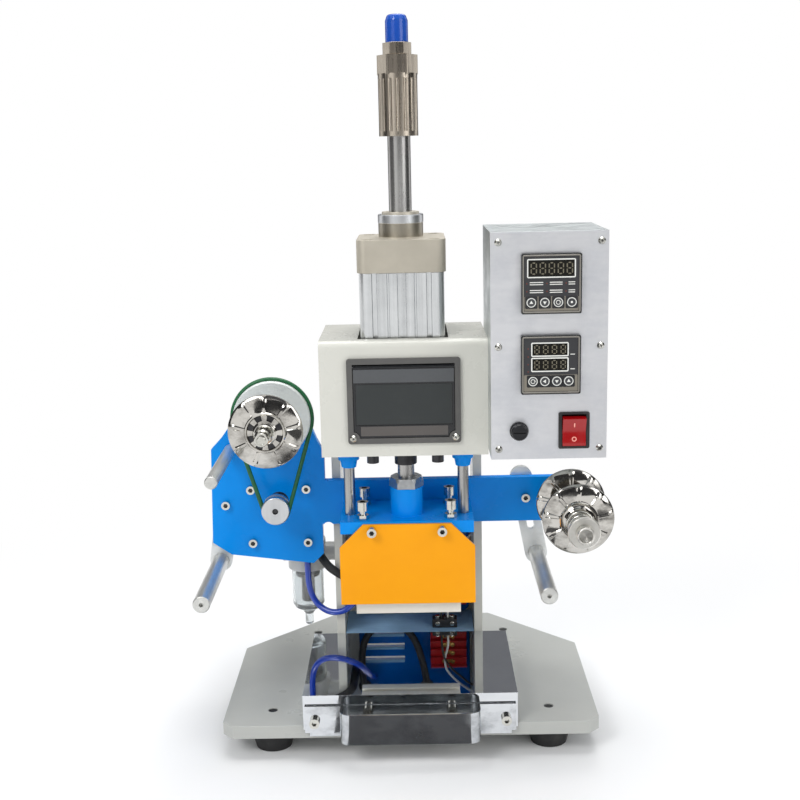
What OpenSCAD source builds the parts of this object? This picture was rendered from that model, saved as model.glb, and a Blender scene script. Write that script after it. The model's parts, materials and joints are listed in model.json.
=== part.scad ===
// Bench-top pneumatic hot foil stamping machine, seen from the front along +Y.
// Millimetres. The ram axis is the line x = 0, y = 0 and the floor is z = 0.

/* [Base] */
// Width of the base plate
base_w = 328; // [312:1:350]
// Distance of the front edge from the ram axis
base_front = 83; // [82:0.5:83]
// Distance of the rear edge from the ram axis
base_rear = 165; // [150:1:180]
// Thickness of the base plate
base_t = 12; // [10:0.5:14]
// Height of the rubber feet
foot_h = 20; // [15:0.5:26]
// Radius of a foot at the floor
foot_r = 16; // [13:0.5:18]
// Half distance between the front feet
foot_x = 122.5; // [105:0.5:128]
// Distance of the front feet ahead of the ram axis
foot_y = 52.5; // [45:0.5:58]

/* [Frame] */
// Half width over the side plates
frame_half = 70.3; // [68:0.1:72]
// Thickness of the side plates
side_t = 8; // [6:0.5:9]
// Depth of the side plates from front edge to rear edge
side_d = 60; // [50:1:66]
// Height of the underside of the top plate
top_z = 262.5; // [255:0.5:272]
// Thickness of the top plate that carries the cylinder
top_t = 12; // [10:0.5:14]
// Length of the louvre slots in the rear plate
louvre_w = 40; // [30:1:50]

/* [Head cover] */
// Width of the sheet cover round the cylinder
head_w = 142; // [141:0.5:144]
// Height of the cover
head_h = 99.5; // [92:0.5:106]
// Depth of the cover
head_d = 98; // [94:0.5:104]
// Sheet thickness of the covers
sheet_t = 2; // [1.5:0.1:2]
// Outside radius of the bent front edge
bend_r = 6; // [4:0.5:8]
// Width of the window bezel
bezel_w = 95.6; // [92:0.1:100]
// Height of the window bezel
bezel_h = 73.2; // [70:0.1:76]
// Play round the hinged window flap
flap_gap = 0.6; // [0.4:0.1:0.8]

/* [Cylinder] */
// Side of the square end caps
cap_w = 75; // [74:0.5:76]
// Height of an end cap
cap_h = 27.5; // [25:0.5:30]
// Side of the extruded barrel
barrel_w = 72; // [70:0.5:73]
// Bore radius of the barrel
bore_r = 31.5; // [29:0.5:32]
// Radius of the upper rod
upper_rod_r = 9.75; // [9:0.25:11]
// Radius of the lower rod and of its thread
lower_rod_r = 7.5; // [6.5:0.25:9]
// Radius of the collar on the upper cap
collar_r = 19.2; // [18:0.1:21]
// Outside radius of the stroke adjusting sleeve
sleeve_r = 16.6; // [15.5:0.1:18]
// Length of the stroke adjusting sleeve
sleeve_len = 66; // [55:1:72]

/* [Ram] */
// Stroke of the ram
stroke = 45; // [40:1:46]
// Width of the slider plate
slider_w = 118.4; // [116:0.2:120]
// Thickness of the slider plate
slider_t = 11; // [9:0.5:13]
// Radius of the slider boss
boss_r = 14.5; // [13.5:0.1:15.5]
// Height of the slider boss
boss_h = 25.5; // [22:0.5:28]
// Radius of the guide rods
guide_r = 5; // [4.5:0.25:6]
// Half distance between the guide rods
guide_x = 51; // [48.5:0.5:52]
// Half distance between the levelling bolts across
level_x = 39; // [36:0.5:40]
// Width of the guard
guard_w = 120; // [116:1:122]
// Height of the guard
guard_h = 74; // [68:0.5:76]
// Corner cut of the guard
guard_cut = 21; // [16:0.5:24]
// Width of the hot plate and of the die plate
plate_w = 93.8; // [88:0.2:96]
// Depth of the hot plate and of the die plate
plate_d = 60; // [56:1:61]
// Height of the die face above the work tray
die_gap = 48.5; // [46:0.5:50]

/* [Tray] */
// Width of the work tray
tray_w = 185; // [176:1:195]
// Height of the tray above the base plate
tray_h = 28.5; // [27:0.5:30]
// Sheet thickness of the tray
tray_t = 1.5; // [1:0.1:2]
// Outside width of the pull handle
handle_w = 120; // [112:1:126]
// Height of the handle strip
handle_h = 27.5; // [25:0.5:30]
// Reach of the handle in front of the tray
handle_reach = 20; // [17:0.5:26]
// Thickness of the handle strip
strip_t = 2.5; // [2:0.1:3]

/* [Foil feed] */
// Thickness of the foil plate
foil_t = 8; // [6:0.5:8]
// Distance between the take-up shaft and the drive shaft
belt_span = 85.5; // [80:0.5:90]
// Height of the drive shaft
drive_z = 197; // [195:0.5:199]
// Running radius of the belt on the take-up pulley
belt_big = 36; // [34:0.5:37]
// Running radius of the belt on the drive pulley
belt_small = 11.5; // [10.5:0.1:12]
// Radius of the round belt
belt_r = 2; // [1.7:0.1:2.1]
// Radius of the take-up flange
takeup_r = 32.6; // [30:0.1:34]
// Radius of the feed flanges
feed_r = 31.3; // [29:0.1:32]
// Distance between the two feed flanges
feed_gap = 50; // [46:1:52]
// Radius of the upper idler roller
idler_r = 5.6; // [5:0.1:6.5]
// Radius of the lower rollers
roller_r = 7.6; // [7:0.1:8.5]
// Reach of the rollers ahead of the foil plate
roller_len = 106; // [96:1:112]
// Length of the roller brackets between centres
bracket_len = 76; // [70:1:80]
// Width of the roller brackets
bracket_w = 21; // [18:1:25]
// Side of the square gear motor
motor_w = 60; // [58:1:62]

/* [Control box] */
// Width of the control box
box_w = 94; // [92:0.5:98]
// Height of the control box
box_h = 185; // [183:0.5:190]
// Depth of the control box
box_d = 95; // [88:1:100]
// Side of the square instruments
meter_w = 48; // [47:0.5:49]
// Radius of the instrument keys
key_r = 4; // [3.5:0.1:4.2]
// Travel of an instrument key
key_travel = 0.5; // [0.3:0.1:0.5]
// Width of the rocker switch frame
switch_w = 25.2; // [24.8:0.1:26]
// Height of the rocker switch frame
switch_h = 30.5; // [30.2:0.1:32]
// Rest tilt of the rocker
rocker_tilt = 9; // [7:0.5:9]

/* [Air] */
// Radius of the filter bowl
bowl_r = 15.5; // [14:0.5:16.5]
// Radius of the air hose
hose_r = 3; // [2.5:0.25:3]
// Radius of the motor cable
cable_r = 4; // [3:0.25:4]

/* [Hidden] */
$fn = 64;
// Running clearance of turned fits, on the radius
fit = 0.05;
// Loose clearance of screw holes, on the radius
loose = 0.2;

base_z = foot_h;
floor_z = base_z + base_t;
base_hw = base_w / 2;
base_cut = 9.5;
side_end = base_rear - 82;
tail_hw = base_hw - 82;
rear_foot = [95, 120];

foil_y = 42;
side_y = foil_y + 8;
side_back = side_y + side_d;
side_in = frame_half - side_t;

tray_z = floor_z + tray_h;
tray_front = -base_front - 2;
tray_rear = side_y - 1;
anvil_z = tray_z - tray_t;

head_front = -50;
head_top = top_z + head_h;
head_hw = head_w / 2;
bezel_z = top_z + 48.3;
win_w = bezel_w - 9.6;
win_h = bezel_h - 9.7;
hinge_y = head_front - 1.75;
hinge_z = bezel_z + win_h / 2 - 2.6;
corner_x = win_w / 2 + 0.3;
corner_z = bezel_z - win_h / 2 + 0.15;

cap_z = top_z + top_t;
barrel_z = cap_z + cap_h;
barrel_len = stroke + 70;
upper_z = barrel_z + barrel_len;
collar_z = upper_z + cap_h;
collar_h = 19;
sleeve_gap = stroke + 18;
sleeve_z = collar_z + collar_h + 2.4 + sleeve_gap;
sleeve_top = sleeve_z + sleeve_len;
nut_h = 10;
endcap_h = 22.5;
piston_z = barrel_z + stroke + 13;
rod_top = sleeve_top + nut_h + 12;
screw_bc = 28.25;
gland_r = lower_rod_r + 2.2;
gland_h = 19;

slider_z = top_z - 77;
slider_top = slider_z + slider_t;
slider_front = -26;
slider_back = 40;
rod_end = slider_top + 3;
level_y = [-16, 28];
die_z = tray_z + die_gap;
die_t = 12;
hot_z = die_z + die_t;
hot_h = 27;
plate_y = -22;
guard_z = slider_top - 1.8;
guard_t = 3;
guard_sx = 31;
guard_sz = slider_z + 4;

handle_z = floor_z - 8;
ear_x = tray_w / 2 - 10;
ear_z = floor_z + 5.5;
strip_x = 36;
strip_z = floor_z + 15.5;
ear_out = tray_w / 2 - 1.5;

drive_x = -120;
takeup_z = drive_z + belt_span;
belt_y = 16;
motor_z = drive_z - 14;
motor_hole = 26;
lead_box = 9;
lead_z = 152;
feed_x = 149;
feed_z = 200.5;
idler = [-163.5, 247.5];
roll_l = [-179, 136.5];
roll_r = [121.8, 139];
tilt_l = -8.8;
tilt_r = 10.8;
bracket_t = 5;
clamp_at = 58.7;

box_x = head_hw;
box_z = top_z + 5;
box_y = -85;
box_top = box_z + box_h;
panel_t = 1.5;
face_y = box_y - panel_t;
counter_c = [box_x + box_w / 2 + 1.1, box_z + box_h - 40.8];
temp_c = [box_x + box_w / 2 + 0.8, box_z + box_h / 2 - 13.5];
counter_row = -14.8;
temp_row = -13.3;
counter_pitch = 10.7;
temp_pitch = 9.57;
meter_t = 5.5;
key_h = 3.2;
fuse_c = [box_x + 22.6, box_z + 24];
fuse_r = 7.7;
switch_c = [box_x + box_w - 26.7, box_z + 23.8];
pivot_y = face_y + 2;
screw_xs = [box_x + 6.2, box_x + box_w - 5.8];
screw_zs = [box_z + 8.6, box_z + box_h / 2 + 0.8, box_z + box_h - 8];

filter_c = [-99.5, 80];
bowl_top = 119;
filter_h = 28;

// Hose route from the elbow on the filter to the rear plate
hose_path = [[-97, 56, 135], [-97, 56, 122], [-96.5, 56, 110], [-94, 55, 99], [-89, 52, 91],
    [-82, 48.5, 86], [-74, 45.5, 84], [-65, 44.5, 85], [-57, 46.5, 89], [-50, 52, 95],
    [-45, 61, 104], [-41, 72, 114], [-38, 84, 122], [-36.5, 95, 127], [-36.5, side_back - 4, 127]];
// Cable route from the box on the motor to the rear plate
cable_path = [[drive_x + motor_w / 2 + lead_box - 4.6, 55.5, lead_z], [-85.6, 55.5, 147], [-85.4, 55.5, 143],
    [-84.3, 55.3, 139], [-82.3, 54.2, 135.3], [-79.3, 51.4, 132], [-75.5, 47.6, 129], [-71, 45, 126.2],
    [-65.5, 43.7, 123], [-60.5, 45, 120], [-57.5, 49.5, 118.3], [-56.5, 57, 118], [-56.5, 68, 119],
    [-56.5, 82, 121], [-56.5, 95, 122], [-56.5, side_back - 4, 122]];

cream = [0.90, 0.89, 0.85];
grey_paint = [0.76, 0.77, 0.77];
blue = [0.02, 0.45, 0.85];
steel = [0.72, 0.73, 0.75];
chrome = [0.82, 0.83, 0.85];
alu = [0.80, 0.81, 0.83];
black = [0.08, 0.08, 0.09];
rubber = [0.05, 0.05, 0.05];
orange = [0.98, 0.63, 0.05];

// A flat shape given in x and z, between two depths
module y_slab(y0, y1) {
    translate([0, y1, 0]) rotate([90, 0, 0]) linear_extrude(height = y1 - y0) children();
}

// A flat shape given in y and z, between two widths
module x_slab(x0, x1) {
    translate([x0, 0, 0]) rotate([90, 0, 90]) linear_extrude(height = x1 - x0) children();
}

// A round bar along y at a place in x and z
module y_rod(at, r, y0, y1) {
    translate([at[0], y1, at[1]]) rotate([90, 0, 0]) cylinder(r = r, h = y1 - y0);
}

// A turned form about a line along y, drawn as radius against depth
module y_turn(at) {
    translate([at[0], 0, at[1]]) rotate([-90, 0, 0]) rotate_extrude() children();
}

// A hexagon bar along y given across flats
module y_hex(at, flats, y0, y1) {
    translate([at[0], y1, at[1]]) rotate([90, 0, 0]) cylinder(r = flats / sqrt(3), h = y1 - y0, $fn = 6);
}

module z_rod(at, r, z0, z1) {
    translate([at[0], at[1], z0]) cylinder(r = r, h = z1 - z0);
}

module z_hex(at, flats, z0, z1) {
    translate([at[0], at[1], z0]) cylinder(r = flats / sqrt(3), h = z1 - z0, $fn = 6);
}

module block(x0, x1, y0, y1, z0, z1) {
    translate([x0, y0, z0]) cube([x1 - x0, y1 - y0, z1 - z0]);
}

// A rectangle with round corners about its centre
module round_rect(w, h, r) {
    square([w - 2 * r, h], center = true);
    square([w, h - 2 * r], center = true);
    for (sx = [-1, 1], sy = [-1, 1]) translate([sx * (w / 2 - r), sy * (h / 2 - r)]) circle(r = r);
}

// A link with round ends standing up from its lower centre
module link(len, w) {
    translate([-w / 2, 0]) square([w, len]);
    circle(r = w / 2);
    translate([0, len]) circle(r = w / 2);
}

// Direction helpers for tubes that follow a list of points
function unit(v) = v / norm(v);
function heading(p, i, loop) = let (n = len(p))
    loop ? unit(p[(i + 1) % n] - p[(i + n - 1) % n])
    : i == 0 ? unit(p[1] - p[0])
    : i == n - 1 ? unit(p[n - 1] - p[n - 2])
    : unit(unit(p[i + 1] - p[i]) + unit(p[i] - p[i - 1]));
function carry(u, t) = unit(u - t * (u * t));
function sides_of(p, loop, start, i) = i == 0 ? [carry(start, heading(p, 0, loop))]
    : let (before = sides_of(p, loop, start, i - 1))
      concat(before, [carry(before[i - 1], heading(p, i, loop))]);

// A round tube along a list of points, open with flat ends or closed in a loop
module tube(p, r, k, start, loop = false) {
    n = len(p);
    side = sides_of(p, loop, start, n - 1);
    pts = [for (i = [0:n - 1], j = [0:k - 1])
        let (t = heading(p, i, loop), u = side[i], v = cross(t, u), a = 360 * j / k)
        p[i] + r * (cos(a) * u + sin(a) * v)];
    last = loop ? n - 1 : n - 2;
    skin = [for (i = [0:last], j = [0:k - 1])
        let (a = i * k + j, b = i * k + (j + 1) % k, c = ((i + 1) % n) * k + (j + 1) % k,
             d = ((i + 1) % n) * k + j)
        each [[a, c, b], [a, d, c]]];
    ends = loop ? [] : [[for (j = [0:k - 1]) j], [for (j = [k - 1:-1:0]) (n - 1) * k + j]];
    polyhedron(points = pts, faces = concat(skin, ends), convexity = 6);
}

// Base

module base_plate() {
    color(grey_paint) difference() {
        translate([0, 0, base_z]) linear_extrude(height = base_t) polygon([
            [-base_hw, -base_front + base_cut], [-base_hw + base_cut, -base_front],
            [base_hw - base_cut, -base_front], [base_hw, -base_front + base_cut], [base_hw, side_end],
            [tail_hw, base_rear], [-tail_hw, base_rear], [-base_hw, side_end]]);
        for (p = foot_places) z_rod(p, 4 + loose, base_z - 1, floor_z + 1);
    }
}

foot_places = [[-foot_x, -foot_y], [foot_x, -foot_y], [-rear_foot[0], rear_foot[1]], rear_foot];

module feet() {
    color(rubber) for (p = foot_places) {
        translate([p[0], p[1], 0]) cylinder(r1 = foot_r, r2 = foot_r + 5, h = foot_h);
        z_rod(p, 4, foot_h - 1, floor_z - 1);
    }
}

// Frame of side plates, rear plate and top plate, welded into one

module frame() {
    color(cream) difference() {
        union() {
            for (s = [-1, 1]) {
                x0 = s > 0 ? side_in : -frame_half;
                block(x0, x0 + side_t, side_y, side_back, floor_z, top_z + 1);
            }
            block(-side_in - 1, side_in + 1, side_back - 4, side_back, floor_z, floor_z + 128);
            block(-head_hw + sheet_t + 0.4, head_hw - sheet_t - 0.4, head_front + sheet_t + 0.4,
                side_back, top_z, cap_z);
        }
        z_rod([0, 0], 11 + loose, top_z - 1, cap_z + 1);
        for (s = [-1, 1]) z_rod([s * guide_x, 0], guide_r + 4 + fit, top_z - 1, cap_z + 1);
        for (sx = [-1, 1], sy = [-1, 1]) z_rod([sx * screw_bc, sy * screw_bc], 3 + loose, top_z - 1, cap_z + 1);
        for (i = [0:2]) block(-46, -46 + louvre_w, side_back - 5, side_back + 1,
            floor_z + 46 + 14 * i, floor_z + 52 + 14 * i);
    }
}

module head_profile(front, top, back, r) {
    translate([front, top_z - 1]) square([back - front, top - r - top_z + 1]);
    translate([front + r, top_z - 1]) square([back - front - r, top - top_z + 1]);
    translate([front + r, top - r]) circle(r = r);
}

module head_shell() {
    head_back = head_front + head_d;
    color(cream) difference() {
        x_slab(-head_hw, head_hw) head_profile(head_front, head_top, head_back, bend_r);
        x_slab(-head_hw + sheet_t, head_hw - sheet_t)
            head_profile(head_front + sheet_t, head_top - sheet_t, head_back - sheet_t, bend_r - sheet_t);
        block(-head_hw - 1, head_hw + 1, head_front - 1, head_back + 1, top_z - 3, top_z);
        block(-head_hw + sheet_t, head_hw - sheet_t, head_back - 5, head_back + 1, top_z - 3, cap_z + 0.4);
        block(-cap_w / 2 - 1, cap_w / 2 + 1, -cap_w / 2 - 1, cap_w / 2 + 1, head_top - 5, head_top + 1);
        block(-win_w / 2 - 1, win_w / 2 + 1, head_front - 1, head_front + sheet_t + 1,
            bezel_z - win_h / 2 + 6, bezel_z + win_h / 2 + 1);
        block(-win_w / 2 + 7, win_w / 2 - 7, head_front - 1, head_front + sheet_t + 1,
            bezel_z - win_h / 2 - 1, bezel_z);
        for (s = [-1, 1]) y_rod([s * corner_x, corner_z], 1.6 + loose, head_front - 1, head_front + 4);
    }
}

module bezel() {
    color(black) difference() {
        union() {
            y_slab(head_front - 3, head_front) translate([0, bezel_z]) round_rect(bezel_w, bezel_h, 2.5);
            block(-win_w / 2 - 0.7, win_w / 2 + 0.7, head_front - 1, head_front + 11.5,
                bezel_z - win_h / 2 + 6.5, bezel_z + win_h / 2 + 0.7);
        }
        difference() {
            block(-win_w / 2, win_w / 2, head_front - 4, head_front - 0.3,
                bezel_z - win_h / 2, bezel_z + win_h / 2);
            for (s = [-1, 1]) y_rod([s * corner_x, corner_z], 5.4, head_front - 5, head_front + 1);
        }
        block(-win_w / 2 + 1.2, win_w / 2 - 1.2, head_front - 4, head_front + 10,
            bezel_z - win_h / 2 + 8, bezel_z + win_h / 2 - 0.2);
        block(-win_w / 2, win_w / 2, head_front - 4, head_front + 2, hinge_z - 4, bezel_z + win_h / 2 - 0.2);
        translate([-win_w / 2 - 2, hinge_y, hinge_z]) rotate([0, 90, 0])
            cylinder(r = 1.1 + fit, h = win_w + 4);
        for (s = [-1, 1]) y_rod([s * corner_x, corner_z], 1.6 + loose, head_front - 4, head_front + 1);
    }
}

module flap() {
    flap_w = win_w - 2 * flap_gap;
    low = bezel_z - win_h / 2 + flap_gap;
    color(black) {
        difference() {
            union() {
                block(-flap_w / 2, flap_w / 2, head_front - 3, head_front - 0.6, low, hinge_z + 1.2);
                translate([-flap_w / 2, hinge_y, hinge_z]) rotate([0, 90, 0]) cylinder(r = 1.6, h = flap_w);
                translate([-win_w / 2 - 1.6, hinge_y, hinge_z]) rotate([0, 90, 0])
                    cylinder(r = 1.1, h = win_w + 3.2);
            }
            for (s = [-1, 1]) y_rod([s * corner_x, corner_z], 5.4 + flap_gap, head_front - 5, head_front + 1);
            block(-flap_w / 2 + 1.5, flap_w / 2 - 1.5, head_front - 4, head_front - 2.2,
                low + 10.5, low + 46.5);
        }
    }
}

// Cylinder

module barrel_shape() {
    difference() {
        round_rect(barrel_w, barrel_w, 7);
        for (a = [0:90:270]) rotate(a) {
            for (s = [-1, 1]) translate([s * 23 - 2, -barrel_w / 2 - 1]) square([4, 4.5]);
            translate([-3.5, -barrel_w / 2 - 1]) square([7, 2]);
            for (s = [-1, 1]) translate([s * 11.5 - 0.8, -barrel_w / 2 - 1]) square([1.6, 2.2]);
        }
    }
}

module cylinder_barrel() {
    color(alu) translate([0, 0, barrel_z]) difference() {
        linear_extrude(height = barrel_len) barrel_shape();
        translate([0, 0, -1]) cylinder(r = bore_r, h = barrel_len + 2);
    }
}

module cylinder_caps() {
    color([0.66, 0.64, 0.59]) {
        difference() {
            union() {
                translate([0, 0, cap_z]) linear_extrude(height = cap_h) round_rect(cap_w, cap_w, 8);
                z_rod([0, 0], 11, top_z - 6.5, cap_z + 1);
                z_rod([0, 0], gland_r, top_z - gland_h, top_z);
            }
            z_rod([0, 0], lower_rod_r + fit, top_z - gland_h - 1, barrel_z + 1);
            for (sx = [-1, 1], sy = [-1, 1]) z_rod([sx * screw_bc, sy * screw_bc], 3 + loose, cap_z - 1, cap_z + 16);
        }
        difference() {
            union() {
                translate([0, 0, upper_z]) linear_extrude(height = cap_h) round_rect(cap_w, cap_w, 8);
                z_rod([0, 0], collar_r, collar_z - 1, collar_z + collar_h);
                z_rod([0, 0], collar_r - 3.2, collar_z + collar_h - 1, collar_z + collar_h + 2.4);
            }
            z_rod([0, 0], upper_rod_r + fit, upper_z - 1, collar_z + collar_h + 4);
            for (sx = [-1, 1], sy = [-1, 1]) z_rod([sx * screw_bc, sy * screw_bc], 5, collar_z - 7, collar_z + 1);
        }
    }
}

module floor_screws() {
    color([0.25, 0.25, 0.27]) for (sx = [-1, 1], sy = [-1, 1]) difference() {
        union() {
            z_rod([sx * screw_bc, sy * screw_bc], 5.2, top_z - 11, top_z);
            z_rod([sx * screw_bc, sy * screw_bc], 3, top_z - 1, cap_z + 15);
        }
        z_hex([sx * screw_bc, sy * screw_bc], 5, top_z - 12, top_z - 7);
    }
}

module guide_bushes() {
    color(blue) for (s = [-1, 1]) difference() {
        union() {
            z_rod([s * guide_x, 0], 9.5, top_z - 15, top_z);
            translate([s * guide_x, 0, top_z - 22]) cylinder(r1 = guide_r + 1.6, r2 = guide_r + 3, h = 8);
            z_rod([s * guide_x, 0], guide_r + 4, top_z - 1, cap_z);
        }
        z_rod([s * guide_x, 0], guide_r + fit, top_z - 24, cap_z + 1);
    }
}

// Ram

module piston_rod() {
    color(chrome) rotate_extrude() polygon([[0, rod_end], [lower_rod_r - 1, rod_end], [lower_rod_r, rod_end + 1],
        [lower_rod_r, piston_z], [bore_r - fit, piston_z], [bore_r - fit, piston_z + 22],
        [upper_rod_r, piston_z + 22], [upper_rod_r, sleeve_z + 6], [7.6, sleeve_z + 6], [7.6, rod_top - 1],
        [6.6, rod_top], [0, rod_top]]);
}

module rod_nut() {
    color(steel) difference() {
        intersection() {
            z_hex([0, 0], 27, slider_top + boss_h, slider_top + boss_h + 9);
            translate([0, 0, slider_top + boss_h - 2]) cylinder(r1 = 18, r2 = 13, h = 13.5);
        }
        z_rod([0, 0], lower_rod_r + fit, slider_top, slider_top + boss_h + 10);
    }
}

module slider() {
    color(blue) difference() {
        union() {
            block(-slider_w / 2, slider_w / 2, slider_front, slider_back, slider_z, slider_top);
            z_rod([0, 0], boss_r, slider_top - 1, slider_top + boss_h);
        }
        z_rod([0, 0], lower_rod_r + fit, rod_end, slider_top + boss_h + 1);
        for (s = [-1, 1]) z_rod([s * guide_x, 0], guide_r + fit, slider_z - 1, slider_top + 1);
        for (s = [-1, 1], y = level_y) z_rod([s * level_x, y], 3 + loose, slider_z - 1, slider_top + 1);
        for (s = [-1, 1]) y_rod([s * guard_sx, guard_sz], 2.5 + loose, slider_front - 1, slider_front + 13);
    }
}

module guide_rods() {
    color(chrome) for (s = [-1, 1]) z_rod([s * guide_x, 0], guide_r, slider_z + 0.5, cap_z + 62);
}

module level_bolts() {
    color(chrome) for (s = [-1, 1], y = level_y) difference() {
        union() {
            z_rod([s * level_x, y], 3, hot_z + hot_h - 12, slider_top + 10);
            z_rod([s * level_x, y], 5, slider_top + 8, slider_top + 16);
            z_hex([s * level_x, y], 10, slider_top, slider_top + 4);
        }
        z_hex([s * level_x, y], 5, slider_top + 12, slider_top + 17);
    }
}

module guard() {
    low = guard_z - guard_h;
    color(orange) difference() {
        y_slab(slider_front - guard_t, slider_front) polygon([[-guard_w / 2, low], [guard_w / 2, low],
            [guard_w / 2, guard_z - guard_cut], [guard_w / 2 - guard_cut, guard_z],
            [-guard_w / 2 + guard_cut, guard_z], [-guard_w / 2, guard_z - guard_cut]]);
        for (s = [-1, 1]) y_rod([s * guard_sx, guard_sz], 2.5 + loose, slider_front - 5, slider_front + 1);
    }
}

module guard_screws() {
    front = slider_front - guard_t;
    color(chrome) for (s = [-1, 1]) difference() {
        union() {
            y_rod([s * guard_sx, guard_sz], 4.2, front - 8, front);
            y_rod([s * guard_sx, guard_sz], 2.5, front - 1, front + 14);
        }
        y_hex([s * guard_sx, guard_sz], 4, front - 9, front - 4);
    }
}

module hot_plate() {
    color([0.36, 0.37, 0.39]) difference() {
        union() {
            block(-plate_w / 2, plate_w / 2, plate_y, plate_y + plate_d, hot_z, hot_z + hot_h - 8);
            block(-plate_w / 2 + 2, plate_w / 2 - 2, plate_y + 2, plate_y + plate_d - 2, hot_z, hot_z + hot_h);
        }
        for (s = [-1, 1], y = level_y) z_rod([s * level_x, y], 3 + loose, hot_z + hot_h - 13, hot_z + hot_h + 1);
        for (y = [plate_y + 15, plate_y + plate_d - 15])
            translate([-plate_w / 2 - 1, y, hot_z + 9]) rotate([0, 90, 0]) cylinder(r = 4, h = plate_w + 2);
    }
}

module die_plate() {
    color(alu) difference() {
        block(-plate_w / 2, plate_w / 2, plate_y, plate_y + plate_d, die_z, hot_z);
        for (i = [-1:1]) x_slab(-plate_w / 2 - 1, plate_w / 2 + 1)
            translate([plate_y + plate_d / 2 + 18 * i, die_z]) polygon([[-3, -1], [3, -1], [3, 2], [5, 2],
                [5, 6], [-5, 6], [-5, 2], [-3, 2]]);
    }
}

module stroke_sleeve() {
    hex_z = sleeve_top - 15;
    color(chrome) difference() {
        union() {
            z_rod([0, 0], sleeve_r, sleeve_z, hex_z);
            intersection() {
                z_rod([0, 0], sleeve_r + 0.5, hex_z - 1, sleeve_top);
                z_hex([0, 0], 2 * sleeve_r - 3, hex_z - 1, sleeve_top);
            }
        }
        for (a = [0:22.5:350]) rotate(a) translate([sleeve_r + 0.6, 0, sleeve_z + 4])
            cylinder(r = 1.7, h = hex_z - sleeve_z - 8);
        z_rod([0, 0], upper_rod_r + fit, sleeve_z - 1, sleeve_z + 6.3);
        z_rod([0, 0], 7.6 + fit, sleeve_z, sleeve_top + 1);
    }
}

module top_nut() {
    color(steel) difference() {
        z_hex([0, 0], 21, sleeve_top + 0.4, sleeve_top + nut_h);
        z_rod([0, 0], 7.6 + fit, sleeve_top - 1, sleeve_top + nut_h + 1);
    }
}

module end_cap() {
    z0 = sleeve_top + nut_h;
    color([0.10, 0.22, 0.80]) difference() {
        rotate_extrude() polygon([[0, z0], [9.5, z0], [9.5, z0 + endcap_h - 5], [8, z0 + endcap_h - 1],
            [6.5, z0 + endcap_h], [0, z0 + endcap_h]]);
        z_rod([0, 0], 7.6 + fit, z0 - 1, rod_top + 0.5);
    }
}

// Work tray

module tray() {
    hw = tray_w / 2;
    color(chrome) difference() {
        block(-hw, hw, tray_front, tray_rear, floor_z - 3, tray_z);
        block(-hw + tray_t, hw - tray_t, tray_front + tray_t, tray_rear + 1, floor_z - 4, anvil_z);
        block(-hw - 1, hw + 1, tray_front + tray_t, tray_rear + 1, floor_z - 4, floor_z + 0.6);
        for (s = [-1, 1]) {
            y_rod([s * ear_x, ear_z], 2.5 + loose, tray_front - 1, tray_front + 3);
            y_rod([s * strip_x, strip_z], 2.5 + loose, tray_front - 1, tray_front + 3);
        }
    }
}

module handle_outline() {
    hw = handle_w / 2;
    reach = handle_reach;
    intersection() {
        difference() {
            translate([0, tray_front - reach + 30]) round_rect(handle_w, 60, 9);
            translate([0, tray_front - reach + 30 + strip_t]) round_rect(handle_w - 2 * strip_t, 60, 9 - strip_t);
        }
        translate([-hw - 1, tray_front - reach - 1]) square([handle_w + 2, reach + 1]);
    }
    for (s = [-1, 1]) {
        x0 = s > 0 ? hw - strip_t : -ear_out;
        translate([x0, tray_front - strip_t]) square([ear_out - hw + strip_t, strip_t]);
    }
}

module handle() {
    color(chrome) {
        difference() {
            translate([0, 0, handle_z]) linear_extrude(height = handle_h) handle_outline();
            for (s = [-1, 1]) y_rod([s * ear_x, ear_z], 2.5 + loose, tray_front - 5, tray_front + 1);
            for (s = [-1, 1]) block(s > 0 ? ear_out - 4 : -ear_out - 1, s > 0 ? ear_out + 1 : -ear_out + 4,
                tray_front - 5, tray_front + 1, handle_z - 1, handle_z + 3);
        }
        difference() {
            block(-handle_w / 2 + strip_t + 0.6, handle_w / 2 - strip_t - 0.6, tray_front - 1.5, tray_front,
                floor_z - 2, handle_z + handle_h);
            for (s = [-1, 1]) y_rod([s * strip_x, strip_z], 2.5 + loose, tray_front - 5, tray_front + 1);
        }
    }
}

module tray_screw(at, seat) {
    difference() {
        union() {
            y_rod(at, 4.4, seat - 4.5, seat);
            y_rod(at, 2.5, seat - 1, seat + 5.2);
        }
        y_hex(at, 4, seat - 5.5, seat - 2);
    }
}

module tray_screws() {
    color(chrome) for (s = [-1, 1]) {
        tray_screw([s * ear_x, ear_z], tray_front - strip_t);
        tray_screw([s * strip_x, strip_z], tray_front - 1.5);
    }
}

module anvil() {
    hw = tray_w / 2 - tray_t - 0.5;
    color([0.45, 0.48, 0.52]) {
        block(-hw, hw, -base_front + 5, tray_rear, floor_z, anvil_z);
        block(-side_in + 0.4, side_in - 0.4, tray_rear - 1, side_back - 5, floor_z, anvil_z);
        block(-side_in + 0.4, side_in - 0.4, tray_rear + 0.5, side_back - 5, anvil_z - 1, tray_z);
    }
}

// Foil feed

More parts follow.
